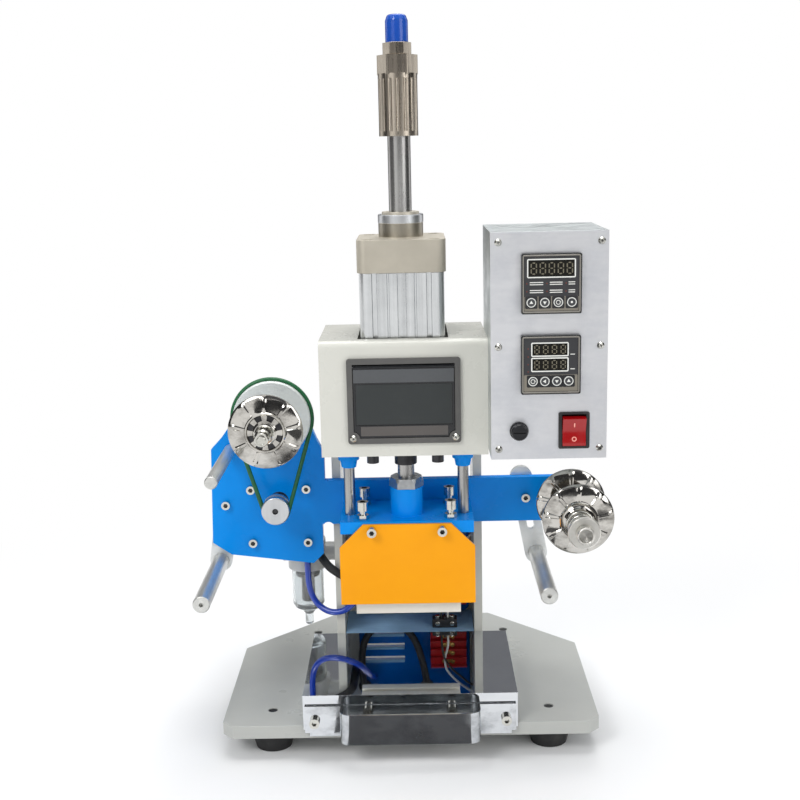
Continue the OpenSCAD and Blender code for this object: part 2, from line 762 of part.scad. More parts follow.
module foil_plate() {
    color(blue) difference() {
        union() {
            y_slab(side_y - foil_t, side_y) difference() {
                union() {
                    polygon([[-184.5, 157], [-167, 145], [-89.5, 135], [-80, 144.5], [-80, 176], [-76.5, 216],
                        [-76.5, 243], [-83, 256], [-101, 303], [-139, 303], [-172, 258], [-181.5, 248]]);
                    translate([-81, 173.5]) square([feed_x + 81, 42.5]);
                    translate([feed_x, 194.75]) circle(r = 21.25);
                }
                translate([-74.5, 170]) circle(r = 5.5);
                translate([-80, 140]) square([11, 30]);
            }
            y_rod([drive_x, takeup_z], 13, side_y - foil_t - 16, side_y - 1);
        }
        y_rod([drive_x, takeup_z], 6 + fit, 20, side_y + 1);
        y_rod([drive_x, drive_z], 9, 20, side_y + 1);
        for (p = clamp_places) y_rod(p, 2.5 + loose, 20, side_y + 1);
        y_rod([feed_x, feed_z], 5 + loose, 20, side_y + 1);
        y_rod(idler, 4 + fit, 20, side_y + 1);
    }
}

function arm_point(base, tilt, t) = [base[0] - sin(tilt) * t, base[1] + cos(tilt) * t];
motor_places = [for (sx = [-1, 1], sz = [-1, 1]) [drive_x + sx * motor_hole, motor_z + sz * motor_hole]];
clamp_places = concat(motor_places,
    [arm_point(roll_l, tilt_l, clamp_at), arm_point(roll_r, tilt_r, clamp_at)]);

module plate_screws() {
    front = side_y - foil_t;
    color(chrome) for (p = clamp_places) difference() {
        union() {
            y_rod(p, 4, front - 5, front);
            y_rod(p, 2.5, front - 1, front + 18);
        }
        y_hex(p, 4, front - 6, front - 2.4);
    }
}

module motor() {
    half = motor_w / 2;
    color([0.30, 0.31, 0.33]) difference() {
        union() {
            y_slab(side_y, side_y + 32) translate([drive_x, motor_z]) round_rect(motor_w, motor_w, 4);
            y_rod([drive_x, motor_z], half - 1, side_y + 31, side_y + 96);
            y_rod([drive_x, motor_z], half - 4, side_y + 95, side_y + 100);
            block(drive_x + half - 1, drive_x + half + lead_box, side_y + 0.6, side_y + 11, lead_z, lead_z + 18);
        }
        for (p = motor_places) y_rod(p, 2.5 + loose, side_y - 1, side_y + 12);
        y_rod([drive_x, drive_z], 5 + fit, side_y - 1, side_y + 26);
    }
}

module bracket(at, tilt) {
    difference() {
        y_slab(side_y, side_y + bracket_t) translate(at) rotate(tilt) difference() {
            link(bracket_len, bracket_w);
            circle(r = 4 + fit);
            translate([0, 44]) link(22, 6.4);
        }
    }
}

module roller_brackets() {
    color(steel) {
        bracket(roll_l, tilt_l);
        bracket(roll_r, tilt_r);
    }
}

module roller(at, r, y0) {
    y_turn(at) polygon([[0, y0], [r - 0.8, y0], [r, y0 + 0.8], [r, side_y - foil_t - 1], [4, side_y - foil_t - 1],
        [4, side_y - 0.5], [0, side_y - 0.5]]);
}

module low_roller(at) {
    y0 = side_y - foil_t - roller_len;
    y_turn(at) polygon([[0, y0 + 4], [2, y0 + 4], [2, y0], [roller_r - 0.8, y0], [roller_r, y0 + 0.8],
        [roller_r, side_y - 0.6], [4, side_y - 0.6], [4, side_y + bracket_t - 0.5], [0, side_y + bracket_t - 0.5]]);
}

module roller_upper() {
    color(chrome) roller(idler, idler_r, side_y - foil_t - roller_len - 7);
}

module roller_left() {
    color(chrome) low_roller(roll_l);
}

module roller_right() {
    color(chrome) low_roller(roll_r);
}

module drive_pulley() {
    color(alu) difference() {
        y_turn([drive_x, drive_z]) difference() {
            polygon([[0, belt_y - 8], [12.2, belt_y - 8], [12.9, belt_y - 7.3], [12.9, belt_y + 7], [9, belt_y + 7],
                [9, belt_y + 10], [5, belt_y + 10], [5, side_y + 25], [0, side_y + 25]]);
            translate([belt_small, belt_y]) circle(r = belt_r + 0.4);
            translate([belt_small, belt_y - belt_r - 0.4]) square([8, 2 * belt_r + 0.8]);
        }
        y_rod([drive_x, drive_z], 2.6, belt_y - 9, belt_y - 3);
    }
}

module takeup_pulley() {
    front = belt_y - 51;
    color(alu) y_turn([drive_x, takeup_z]) difference() {
        polygon([[0, front - 16], [4, front - 16], [4, front], [12.7, front], [12.7, belt_y - 7], [belt_big - 2, belt_y - 7],
            [belt_big - 1, belt_y - 6], [belt_big - 1, belt_y + 6], [14, belt_y + 6], [14, belt_y + 8], [6, belt_y + 8],
            [6, side_y + 4], [0, side_y + 4]]);
        translate([belt_big, belt_y]) circle(r = belt_r + 0.4);
    }
}

// A dished flange with a hub, drawn as radius against depth from its back
module flange_shape(r, bore, hub) {
    polygon([[bore, 0], [hub, 0], [hub, -3], [r - 7, -1.6], [r - 1, 1.2], [r, 0.8], [r, -0.4], [r - 6, -3.2],
        [hub + 1, -4.8], [hub, -8], [bore, -8]]);
}

module takeup_disc() {
    front = belt_y - 51;
    color(chrome) {
        difference() {
            union() {
                y_turn([drive_x, takeup_z]) translate([0, front - 0.4]) flange_shape(takeup_r, 4 + fit, 10);
                y_hex([drive_x, takeup_z], 11, front - 13, front - 8);
                y_rod([drive_x, takeup_z], 7.5, front - 9.2, front - 8.3);
            }
            y_rod([drive_x, takeup_z], 4 + fit, front - 20, front + 1);
        }
    }
}

// The belt runs over both pulleys along two straight spans
belt_turn = asin((belt_big - belt_small) / belt_span);
belt_path = concat(
    [for (i = [0:24]) let (a = -belt_turn + (180 + 2 * belt_turn) * i / 24)
        [drive_x + belt_big * cos(a), belt_y, takeup_z + belt_big * sin(a)]],
    [for (i = [0:12]) let (a = 180 + belt_turn + (180 - 2 * belt_turn) * i / 12)
        [drive_x + belt_small * cos(a), belt_y, drive_z + belt_small * sin(a)]]);

module belt() {
    color([0.05, 0.35, 0.16]) tube(belt_path, belt_r, 10, [0, 1, 0], true);
}

feed_back = 5;
feed_front = feed_back - feed_gap;

module feed_axle() {
    color(steel) y_turn([feed_x, feed_z]) polygon([[0, feed_front - 30], [6.6, feed_front - 30],
        [7.6, feed_front - 29], [7.6, feed_front - 21.6], [5, feed_front - 21.6], [5, side_y - foil_t - 8],
        [11, side_y - foil_t - 8], [11, side_y - foil_t], [5, side_y - foil_t], [5, side_y + 6], [0, side_y + 6]]);
}

module feed_hub() {
    color(steel) y_turn([feed_x, feed_z]) polygon([[5 + fit, feed_front - 21], [13, feed_front - 21],
        [14, feed_front - 20], [14, feed_front - 14], [13, feed_front - 13], [8, feed_front - 13],
        [8, feed_back + 14], [14, feed_back + 14], [14, feed_back + 24], [5 + fit, feed_back + 24]]);
}

module feed_discs() {
    color(chrome) for (y = [feed_back, feed_front])
        y_turn([feed_x, feed_z]) translate([0, y + 4]) flange_shape(feed_r, 8 + fit, 12);
}

spring_turns = 3;
spring_r = 10.8;
wire_r = 0.8;
spring_y0 = feed_front - 12.1;
spring_y1 = feed_front - 4.9;
spring_pts = [for (i = [0:8 * spring_turns]) let (a = 45 * i)
    [feed_x + spring_r * cos(a), spring_y0 + (spring_y1 - spring_y0) * i / (8 * spring_turns),
     feed_z + spring_r * sin(a)]];
spring_lead = unit(spring_pts[0] - spring_pts[1]) * 2 * wire_r;
spring_tail = unit(spring_pts[8 * spring_turns] - spring_pts[8 * spring_turns - 1]) * 2 * wire_r;
spring_path = concat([spring_pts[0] + spring_lead], spring_pts, [spring_pts[8 * spring_turns] + spring_tail]);
// Least open space between neighbouring turns of the spring
spring_space = (spring_y1 - spring_y0) / spring_turns - 2 * wire_r;
echo(spring_self_gap = spring_space);

module feed_spring() {
    color(steel) tube(spring_path, wire_r, 6, [0, 1, 0]);
}

// Control box

module control_box() {
    color(alu) difference() {
        union() {
            difference() {
                block(box_x, box_x + box_w, box_y, box_y + box_d, box_z, box_top);
                block(box_x + 1.5, box_x + box_w - 1.5, box_y - 1, box_y + box_d - 1.5, box_z + 1.5, box_top - 1.5);
            }
            block(box_x + 1, box_x + 12, box_y, box_y + 1.5, box_z + 1, box_top - 1);
            block(box_x + box_w - 12, box_x + box_w - 1, box_y, box_y + 1.5, box_z + 1, box_top - 1);
        }
        for (x = screw_xs, z = screw_zs) y_rod([x, z], 1.6 + loose, box_y - 1, box_y + 3);
    }
}

module front_panel() {
    cut = meter_w - 2.8;
    color(alu) difference() {
        block(box_x, box_x + box_w, face_y, box_y, box_z, box_top);
        for (c = [counter_c, temp_c]) translate([c[0] - cut / 2, face_y - 1, c[1] - cut / 2])
            cube([cut, panel_t + 2, cut]);
        translate([switch_c[0] - 11.2, face_y - 1, switch_c[1] - 14.2]) cube([22.4, panel_t + 2, 28.4]);
        y_rod(fuse_c, 6 + fit, face_y - 1, box_y + 1);
        for (x = screw_xs, z = screw_zs) y_rod([x, z], 1.6 + loose, face_y - 1, box_y + 1);
    }
}

module pan_screw(at, seat) {
    y_turn(at) polygon([[0, seat - 2.2], [1.8, seat - 2.2], [2.95, seat - 0.9], [2.95, seat], [1.6, seat],
        [1.6, seat + 6], [0, seat + 6]]);
}

module pan_screws() {
    color(steel) {
        for (x = screw_xs, z = screw_zs) pan_screw([x, z], face_y);
        for (s = [-1, 1]) pan_screw([s * corner_x, corner_z], head_front - 3);
    }
}

function key_at(c, row, pitch, i) = [c[0] + (i - 1.5) * pitch, c[1] + row];

module meter(c, row, pitch) {
    back = meter_w - 3.2;
    difference() {
        union() {
            y_slab(face_y - meter_t, face_y) translate(c) round_rect(meter_w, meter_w, 1.5);
            y_slab(face_y - 1, face_y + 66) translate(c) square([back, back], center = true);
        }
        translate([c[0] - meter_w / 2 + 2, face_y - meter_t - 1, c[1] - meter_w / 2 + 2])
            cube([meter_w - 4, 1.6, meter_w - 4]);
        for (i = [0:3]) y_rod(key_at(c, row, pitch, i), key_r + fit, face_y - meter_t - 1, face_y - meter_t + key_h + key_travel + 0.1);
    }
}

module instruments() {
    color(black) {
        meter(counter_c, counter_row, counter_pitch);
        meter(temp_c, temp_row, temp_pitch);
    }
}

module key(at) {
    color([0.75, 0.75, 0.74]) y_turn(at) polygon([[0, face_y - meter_t], [key_r - 0.5, face_y - meter_t],
        [key_r, face_y - meter_t + 0.4], [key_r, face_y - meter_t + key_h], [0, face_y - meter_t + key_h]]);
}

module counter_key(i) {
    key(key_at(counter_c, counter_row, counter_pitch, i));
}

module temp_key(i) {
    key(key_at(temp_c, temp_row, temp_pitch, i));
}

module rocker_frame() {
    color(black) difference() {
        union() {
            y_slab(face_y - 2, face_y) translate(switch_c) round_rect(switch_w, switch_h, 1.5);
            y_slab(face_y - 1, face_y + 18) translate(switch_c) square([22, 28], center = true);
        }
        y_slab(face_y - 3, face_y + 14) translate(switch_c) square([19.6, 26.4], center = true);
        translate([switch_c[0] - 10.5, pivot_y, switch_c[1]]) rotate([0, 90, 0]) cylinder(r = 1.5 + fit, h = 21);
    }
}

module rocker() {
    color([0.80, 0.05, 0.05]) {
        translate([switch_c[0], pivot_y, switch_c[1]]) rotate([rocker_tilt, 0, 0]) {
            x_slab(-9.5, 9.5) polygon([[-4.4, 0], [-7.2, 11.8], [0, 11.8], [3.5, 6], [3.5, -6], [0, -11.8],
                [-7.2, -11.8]]);
            translate([-10.3, 0, 0]) rotate([0, 90, 0]) cylinder(r = 1.5, h = 20.6);
        }
    }
}

module fuse_cap() {
    color(black) difference() {
        y_turn(fuse_c) polygon([[0, face_y - 8], [6, face_y - 8], [6.8, face_y - 7], [6.8, face_y - 2.4],
            [fuse_r, face_y - 2.4], [fuse_r, face_y], [6, face_y], [6, face_y + 24], [0, face_y + 24]]);
        translate([fuse_c[0] - 5, face_y - 9, fuse_c[1] - 0.8]) cube([10, 2.8, 1.6]);
    }
}

// Air filter, hose and cable

module filter_head() {
    x = filter_c[0];
    y = filter_c[1];
    color([0.85, 0.85, 0.84]) difference() {
        union() {
            z_rod(filter_c, bowl_r + 3, bowl_top, bowl_top + filter_h);
            translate([x - 23, y, bowl_top + 15]) rotate([0, 90, 0])
                cylinder(r = 9, h = -frame_half - x + 23);
            y_rod([-97, bowl_top + 20.2], 4, 55, y);
            translate([-97, 56, 135]) cylinder(r = hose_r + 2, h = 8);
        }
        translate([x - 24, y, bowl_top + 15]) rotate([0, 90, 0]) cylinder(r = 5.72, h = 13);
    }
}

module filter_bowl() {
    color([0.75, 0.78, 0.80]) translate([filter_c[0], filter_c[1], 0]) rotate_extrude() polygon([[0, 59],
        [3, 59], [4, 60], [4, 70], [7, 74], [bowl_r - 2, 78], [bowl_r, 82], [bowl_r, bowl_top],
        [bowl_r - 2, bowl_top], [bowl_r - 2, 83], [6, 77], [0, 77]]);
}

module air_hose() {
    color([0.03, 0.15, 0.65]) tube(hose_path, hose_r, 10, [1, 0, 0]);
}

module motor_cable() {
    color(black) tube(cable_path, cable_r, 10, [0, 1, 0]);
}

base_plate();
feet();
frame();
head_shell();
cylinder_barrel();
cylinder_caps();
floor_screws();
guide_bushes();
bezel();
pan_screws();
foil_plate();
motor();
plate_screws();
roller_brackets();
anvil();
control_box();
front_panel();
instruments();
rocker_frame();
filter_head();
filter_bowl();
air_hose();
motor_cable();
feed_axle();
piston_rod();
rod_nut();
slider();
guide_rods();
level_bolts();
guard();
guard_screws();
hot_plate();
die_plate();
stroke_sleeve();
top_nut();
end_cap();
tray();
handle();
tray_screws();
takeup_pulley();
takeup_disc();
drive_pulley();
belt();
feed_discs();
feed_spring();
feed_hub();
roller_upper();
roller_left();
roller_right();
flap();
counter_key(0);  // counter_key_1
counter_key(1);  // counter_key_2
counter_key(2);  // counter_key_3
counter_key(3);  // counter_key_4
temp_key(0);  // temp_key_1
temp_key(1);  // temp_key_2
temp_key(2);  // temp_key_3
temp_key(3);  // temp_key_4
rocker();
fuse_cap();
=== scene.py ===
import json
import math

import bpy
from mathutils import Matrix, Vector


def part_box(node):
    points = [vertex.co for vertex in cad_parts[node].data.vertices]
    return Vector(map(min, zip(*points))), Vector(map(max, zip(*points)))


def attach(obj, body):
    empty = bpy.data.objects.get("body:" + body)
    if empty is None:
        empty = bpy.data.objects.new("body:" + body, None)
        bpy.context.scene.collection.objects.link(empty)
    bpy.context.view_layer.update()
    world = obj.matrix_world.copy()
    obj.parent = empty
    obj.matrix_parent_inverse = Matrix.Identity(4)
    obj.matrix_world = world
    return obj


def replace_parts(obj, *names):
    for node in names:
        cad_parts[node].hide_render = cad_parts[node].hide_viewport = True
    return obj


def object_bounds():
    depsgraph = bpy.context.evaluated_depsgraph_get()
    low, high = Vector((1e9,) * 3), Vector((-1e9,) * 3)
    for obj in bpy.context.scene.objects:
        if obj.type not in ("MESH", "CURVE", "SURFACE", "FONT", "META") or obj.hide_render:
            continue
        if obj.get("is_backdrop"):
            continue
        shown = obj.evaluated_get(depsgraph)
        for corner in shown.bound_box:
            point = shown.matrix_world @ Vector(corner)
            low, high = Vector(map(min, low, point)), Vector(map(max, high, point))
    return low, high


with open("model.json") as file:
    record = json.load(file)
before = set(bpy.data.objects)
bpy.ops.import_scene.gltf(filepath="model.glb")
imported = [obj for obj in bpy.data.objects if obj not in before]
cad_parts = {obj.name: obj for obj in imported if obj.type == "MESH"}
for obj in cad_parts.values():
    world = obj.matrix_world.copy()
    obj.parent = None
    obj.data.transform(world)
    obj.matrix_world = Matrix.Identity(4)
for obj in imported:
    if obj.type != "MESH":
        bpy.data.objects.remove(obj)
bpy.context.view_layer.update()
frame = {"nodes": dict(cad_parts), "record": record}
nodes = frame["nodes"]
record = frame["record"]
body_of_node = {}
for body, members in record["behaviour"]["bodies"].items():
    for node in members:
        body_of_node[node] = body
MM = 0.001

# Selection and edit mode


def clear_selection():
    if bpy.context.object and bpy.context.object.mode != "OBJECT":
        bpy.ops.object.mode_set(mode="OBJECT")
    bpy.ops.object.select_all(action="DESELECT")


def take(piece):
    clear_selection()
    bpy.context.view_layer.objects.active = piece
    piece.select_set(True)
    return piece


def settle(piece):
    take(piece)
    bpy.ops.object.transform_apply(location=True, rotation=True, scale=True)
    return piece


def open_mesh(piece, all_selected=True):
    take(piece)
    bpy.ops.object.mode_set(mode="EDIT")
    bpy.ops.mesh.select_mode(type="VERT")
    bpy.ops.mesh.select_all(action="SELECT" if all_selected else "DESELECT")


def close_mesh():
    bpy.ops.object.mode_set(mode="OBJECT")


def pick(piece, kind, test):
    """Opens a mesh with the vertices or faces selected that pass a test."""
    open_mesh(piece, False)
    bpy.ops.mesh.select_mode(type=kind)
    close_mesh()
    for item in piece.data.vertices if kind == "VERT" else piece.data.polygons:
        item.select = test(item)
    bpy.ops.object.mode_set(mode="EDIT")


def push(along):
    """Moves what is selected along Y, in millimetres."""
    bpy.ops.transform.translate(value=(0, along * MM, 0))


def clean_normals(piece):
    open_mesh(piece)
    bpy.ops.mesh.remove_doubles(threshold=1e-6)
    bpy.ops.mesh.normals_make_consistent(inside=False)
    close_mesh()
    return piece


# Starting shapes, in millimetres


def slab(low, high, edge=0.0, steps=2):
    """A box between two corners, with its edges rounded if asked."""
    clear_selection()
    low, high = Vector(low) * MM, Vector(high) * MM
    bpy.ops.mesh.primitive_cube_add(size=1, location=(low + high) / 2)
    piece = bpy.context.object
    piece.scale = high - low
    settle(piece)
    if edge:
        open_mesh(piece)
        bpy.ops.mesh.bevel(offset=edge * MM, segments=steps, affect="EDGES")
        close_mesh()
    return piece


def bar(x, z, half_x, half_z, y0, y1, edge=0.0, steps=1):
    """A box round a place on the front."""
    return slab((x - half_x, y0, z - half_z), (x + half_x, y1, z + half_z), edge, steps)


AXIS_TURN = {"Z": (0, 0, 0), "Y": (-math.pi / 2, 0, 0), "X": (0, math.pi / 2, 0)}


def turned(profile, at, axis="Z", sides=48, ring=False):
    """A lathe piece: (radius, distance) pairs swept ring by ring along the axis."""
    clear_selection()
    radius, along = profile[0]
    bpy.ops.mesh.primitive_circle_add(vertices=sides, radius=radius * MM, location=(0, 0, along * MM))
    piece = settle(bpy.context.object)
    open_mesh(piece)
    for next_radius, next_along in profile[1:]:
        move = (0, 0, (next_along - along) * MM)
        bpy.ops.mesh.extrude_edges_move(TRANSFORM_OT_translate={"value": move})
        grow = next_radius / radius
        middle = (0, 0, next_along * MM)
        bpy.ops.transform.resize(value=(grow, grow, 1), center_override=middle)
        radius, along = next_radius, next_along
    bpy.ops.mesh.select_all(action="SELECT")
    if ring:
        bpy.ops.mesh.remove_doubles(threshold=1e-6)
    else:
        bpy.ops.mesh.fill_holes(sides=0)
    bpy.ops.mesh.normals_make_consistent(inside=False)
    close_mesh()
    piece.rotation_euler = AXIS_TURN[axis]
    piece.location = Vector(at) * MM
    return settle(piece)


def washer(outer, inner, start, end, at, sides):
    """A flat ring along Y between two distances."""
    profile = [(outer, start), (outer, end), (inner, end), (inner, start), (outer, start)]
    return turned(profile, at, "Y", sides, ring=True)


def front_sheet(x0, x1, z0, z1, y, corner):
    """A sheet with rounded corners that faces the front, open in edit mode."""
    clear_selection()
    bpy.ops.mesh.primitive_plane_add(size=1, rotation=(math.pi / 2, 0, 0))
    piece = bpy.context.object
    piece.scale = ((x1 - x0) * MM, (z1 - z0) * MM, 1)
    piece.location = Vector(((x0 + x1) / 2, y, (z0 + z1) / 2)) * MM
    settle(piece)
    open_mesh(piece)
    bpy.ops.mesh.bevel(offset=corner * MM, segments=4, affect="VERTICES")
    return piece


def thicken(depth):
    """Draws the open sheet out along Y into a closed plate."""
    bpy.ops.mesh.select_all(action="SELECT")
    bpy.ops.mesh.extrude_region_move(TRANSFORM_OT_translate={"value": (0, depth * MM, 0)})
    bpy.ops.mesh.select_all(action="SELECT")
    bpy.ops.mesh.normals_make_consistent(inside=False)
    close_mesh()


def frame_ring(x0, x1, z0, z1, width, y0, y1, corner):
    """A flat frame with rounded corners that faces the front."""
    piece = front_sheet(x0, x1, z0, z1, y1, corner)
    bpy.ops.mesh.select_mode(type="FACE")
    bpy.ops.mesh.select_all(action="SELECT")
    bpy.ops.mesh.inset(thickness=width * MM)
    bpy.ops.mesh.delete(type="FACE")
    thicken(y0 - y1)
    return piece


def rounded_plate(x0, x1, z0, z1, y0, y1, corner, edge=0.0):
    """A flat plate with rounded corners that faces the front."""
    piece = front_sheet(x0, x1, z0, z1, y1, corner)
    thicken(y0 - y1)
    if edge:
        soften(piece, edge, 2, 40)
    return piece


def tube(points, radius, sides=16, closed=False):
    """A round tube along a run of points."""
    clear_selection()
    bpy.ops.curve.primitive_nurbs_path_add()
    path = bpy.context.object
    line = path.data
    line.splines.clear()
    line.dimensions = "3D"
    spline = line.splines.new("POLY")
    spline.points.add(len(points) - 1)
    for spot, point in zip(points, spline.points):
        point.co = (*(Vector(spot) * MM), 1)
    spline.use_cyclic_u = closed
    line.bevel_depth = radius * MM
    line.bevel_resolution = max(1, sides // 4 - 1)
    line.use_fill_caps = not closed
    path.location = (0, 0, 0)
    bpy.ops.object.convert(target="MESH")
    return clean_normals(settle(bpy.context.object))


def through(points, per):
    """A smooth run through the given points, with some steps per span."""
    run = []
    last = len(points) - 1
    for i in range(last):
        a, b, c, d = (Vector(points[min(max(i + k, 0), last)]) for k in (-1, 0, 1, 2))
        bend = 2 * a - 5 * b + 4 * c - d
        twist = 3 * b - a - 3 * c + d
        for j in range(per):
            t = j / per
            run.append(0.5 * (2 * b + (c - a) * t + bend * t * t + twist * t ** 3))
    run.append(Vector(points[-1]))
    return run


# Finishing, copying and placing


def soften(piece, width, steps=2, angle=30):
    take(piece)
    edge = piece.modifiers.new("edge", "BEVEL")
    edge.width = width * MM
    edge.segments = steps
    edge.limit_method = "ANGLE"
    edge.angle_limit = math.radians(angle)
    edge.use_clamp_overlap = True
    bpy.ops.object.modifier_apply(modifier=edge.name)
    return piece


def cut_by(piece, cutters):
    """Takes other shapes out of a piece, and removes them."""
    for cutter in cutters:
        take(piece)
        hole = piece.modifiers.new("cut", "BOOLEAN")
        hole.operation = "DIFFERENCE"
        hole.object = cutter
        hole.solver = "EXACT"
        bpy.ops.object.modifier_apply(modifier=hole.name)
        bpy.data.objects.remove(cutter)
    return piece


def swung(piece, angle, about, axis):
    """Turns a piece about a line through a point."""
    centre = Matrix.Translation(Vector(about) * MM)
    piece.matrix_world = centre @ Matrix.Rotation(math.radians(angle), 4, axis) @ centre.inverted()
    return settle(piece)


def ring_of(piece, count, about):
    """Copies of a piece, each with its own mesh, spread round a line along Y in its place."""
    copies = []
    for i in range(count):
        take(piece)
        bpy.ops.object.duplicate()
        copies.append(swung(bpy.context.object, 360 / count * i, about, "Y"))
    bpy.data.objects.remove(piece)
    return copies


def joined(parts):
    clear_selection()
    for part in parts:
        part.select_set(True)
    bpy.context.view_layer.objects.active = parts[0]
    if len(parts) > 1:
        bpy.ops.object.join()
    return bpy.context.object


def place(pieces, name, look, smooth=32, body="machine"):
    """Joins, names and shades finished pieces, and lets them ride on a body."""
    piece = take(joined(pieces))
    if smooth:
        bpy.ops.object.shade_smooth_by_angle(angle=math.radians(smooth))
        flat = piece.modifiers.new("flat", "WEIGHTED_NORMAL")
        flat.keep_sharp = True
        bpy.ops.object.modifier_apply(modifier=flat.name)
    piece.name = name
    piece.data.name = name
    piece.data.materials.clear()
    piece.data.materials.append(LOOKS[look])
    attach(piece, body)
    return piece


def dressed(node, edge, look, cuts=()):
    """A copy of a CAD node, cut where asked, with rounded edges, which stands for it."""
    take(nodes[node])
    bpy.ops.object.duplicate()
    piece = bpy.context.object
    for key in list(piece.keys()):
        del piece[key]
    piece.parent = None
    piece.matrix_world = Matrix.Identity(4)
    open_mesh(piece)
    bpy.ops.mesh.remove_doubles(threshold=2e-6)
    bpy.ops.mesh.dissolve_limited(angle_limit=math.radians(0.4))
    bpy.ops.mesh.normals_make_consistent(inside=False)
    close_mesh()
    cut_by(piece, cuts)
    soften(piece, edge)
    place([piece], node + "_dressed", look, body=body_of_node[node])
    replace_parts(piece, node)
    return piece


def repaint(look, *names):
    for name in names:
        node = nodes[name]
        node.data.materials.clear()
        node.data.materials.append(LOOKS[look])


# Surface effects as node groups


def link(tree, source, socket, target, name):
    tree.links.new(source.outputs[socket], target.inputs[name])


def set_inputs(node, values):
    for label, value in values.items():
        node.inputs[label].default_value = value


COLOUR, NUMBER, VECTOR = "NodeSocketColor", "NodeSocketFloat", "NodeSocketVector"
INPUT_KIND = {"Colour": COLOUR, "Shade": COLOUR, "Haze": COLOUR, "Dust": COLOUR, "Line Scale": VECTOR}


def new_group(name, *labels):
    """An empty effect with its inputs, and a colour, a roughness and a height to give."""
    group = bpy.data.node_groups.new(name, "ShaderNodeTree")
    for label in labels:
        group.interface.new_socket(label, in_out="INPUT", socket_type=INPUT_KIND.get(label, NUMBER))
    for label, kind in (("Colour", COLOUR), ("Roughness", NUMBER), ("Height", NUMBER)):
        group.interface.new_socket(label, in_out="OUTPUT", socket_type=kind)
    return group, group.nodes.new("NodeGroupInput").outputs


def give(group, colour, rough, height):
    end = group.nodes.new("NodeGroupOutput")
    for label, value in (("Colour", colour), ("Roughness", rough), ("Height", height)):
        group.links.new(value, end.inputs[label])
    return group


def noise(tree, scale, detail, rough, stretch=None):
    """A noise over Object coordinates, stretched by a vector or a socket if asked."""
    spot = tree.nodes.new("ShaderNodeTexCoord").outputs["Object"]
    if stretch:
        spread = tree.nodes.new("ShaderNodeVectorMath")
        spread.operation = "MULTIPLY"
        tree.links.new(spot, spread.inputs[0])
        if isinstance(stretch, tuple):
            spread.inputs[1].default_value = stretch
        else:
            tree.links.new(stretch, spread.inputs[1])
        spot = spread.outputs["Vector"]
    cloud = tree.nodes.new("ShaderNodeTexNoise")
    set_inputs(cloud, {"Scale": scale, "Detail": detail, "Roughness": rough})
    tree.links.new(spot, cloud.inputs["Vector"])
    return cloud.outputs["Fac"]


def ranged(tree, value, low, high):
    """A value spread from 0 at the low mark to 1 at the high mark."""
    step = tree.nodes.new("ShaderNodeMapRange")
    set_inputs(step, {"From Min": low, "From Max": high})
    tree.links.new(value, step.inputs["Value"])
    return step.outputs["Result"]


def maths(tree, kind, a, b):
    step = tree.nodes.new("ShaderNodeMath")
    step.operation = kind
    for slot, value in ((0, a), (1, b)):
        if isinstance(value, (int, float)):
            step.inputs[slot].default_value = value
        else:
            tree.links.new(value, step.inputs[slot])
    return step.outputs["Value"]


def times(tree, a, b):
    return maths(tree, "MULTIPLY", a, b)


def plus(tree, a, b):
    return maths(tree, "ADD", a, b)


def blend_colour(tree, factor, a, b):
    mix = tree.nodes.new("ShaderNodeMix")
    mix.data_type = "RGBA"
    for socket, value in ((0, factor), (6, a), (7, b)):
        tree.links.new(value, mix.inputs[socket])
    return mix.outputs[2]


def make_coat_group():
    """Sprayed paint: faint mottling, dust specks, rubbed scuffs and a fine skin."""
    group, given = new_group("sprayed_coat", "Colour", "Shade", "Mottle", "Scuffs", "Gloss", "Skin")
    patch = ranged(group, noise(group, 14, 5, 0.6), 0.35, 0.75)
    mottle = times(group, patch, given["Mottle"])
    speck = ranged(group, noise(group, 55, 8, 0.7), 0.62, 0.78)
    rub = ranged(group, noise(group, 60, 6, 0.65, (1.0, 1.0, 0.16)), 0.6, 0.72)
    scuff = times(group, times(group, rub, speck), given["Scuffs"])
    toned = blend_colour(group, mottle, given["Colour"], given["Shade"])
    worn = blend_colour(group, scuff, toned, given["Shade"])
    rough = plus(group, times(group, patch, 0.10), given["Gloss"])
    rough = plus(group, rough, times(group, scuff, 0.4))
    skin = times(group, noise(group, 420, 2, 0.5), given["Skin"])
    height = maths(group, "SUBTRACT", skin, times(group, scuff, 0.4))
    return give(group, worn, rough, height)


def make_drawn_group():
    """Brushed or drawn metal: long fine lines, cloudy handling marks."""
    labels = ("Colour", "Shade", "Line Scale", "Lines", "Clouds", "Gloss")
    group, given = new_group("drawn_metal", *labels)
    hair = ranged(group, noise(group, 1, 3, 0.5, given["Line Scale"]), 0.3, 0.7)
    smear = ranged(group, noise(group, 26, 5, 0.6), 0.42, 0.7)
    lined = times(group, hair, given["Lines"])
    clouded = times(group, smear, given["Clouds"])
    toned = blend_colour(group, lined, given["Colour"], given["Shade"])
    toned = blend_colour(group, clouded, toned, given["Shade"])
    rough = plus(group, given["Gloss"], times(group, hair, 0.12))
    rough = plus(group, rough, times(group, clouded, 0.25))
    return give(group, toned, rough, lined)


def make_polish_group():
    """Plated or polished metal: faint haze, wipe marks and a few pits."""
    group, given = new_group("polished_plate", "Colour", "Haze", "Wipes", "Gloss")
    smear = ranged(group, noise(group, 30, 6, 0.65, (1.0, 0.5, 1.6)), 0.45, 0.72)
    pit = ranged(group, noise(group, 260, 3, 0.6), 0.68, 0.8)
    haze = times(group, smear, given["Wipes"])
    toned = blend_colour(group, haze, given["Colour"], given["Haze"])
    rough = plus(group, given["Gloss"], times(group, haze, 0.3))
    rough = plus(group, rough, times(group, pit, 0.12))
    return give(group, toned, rough, pit)


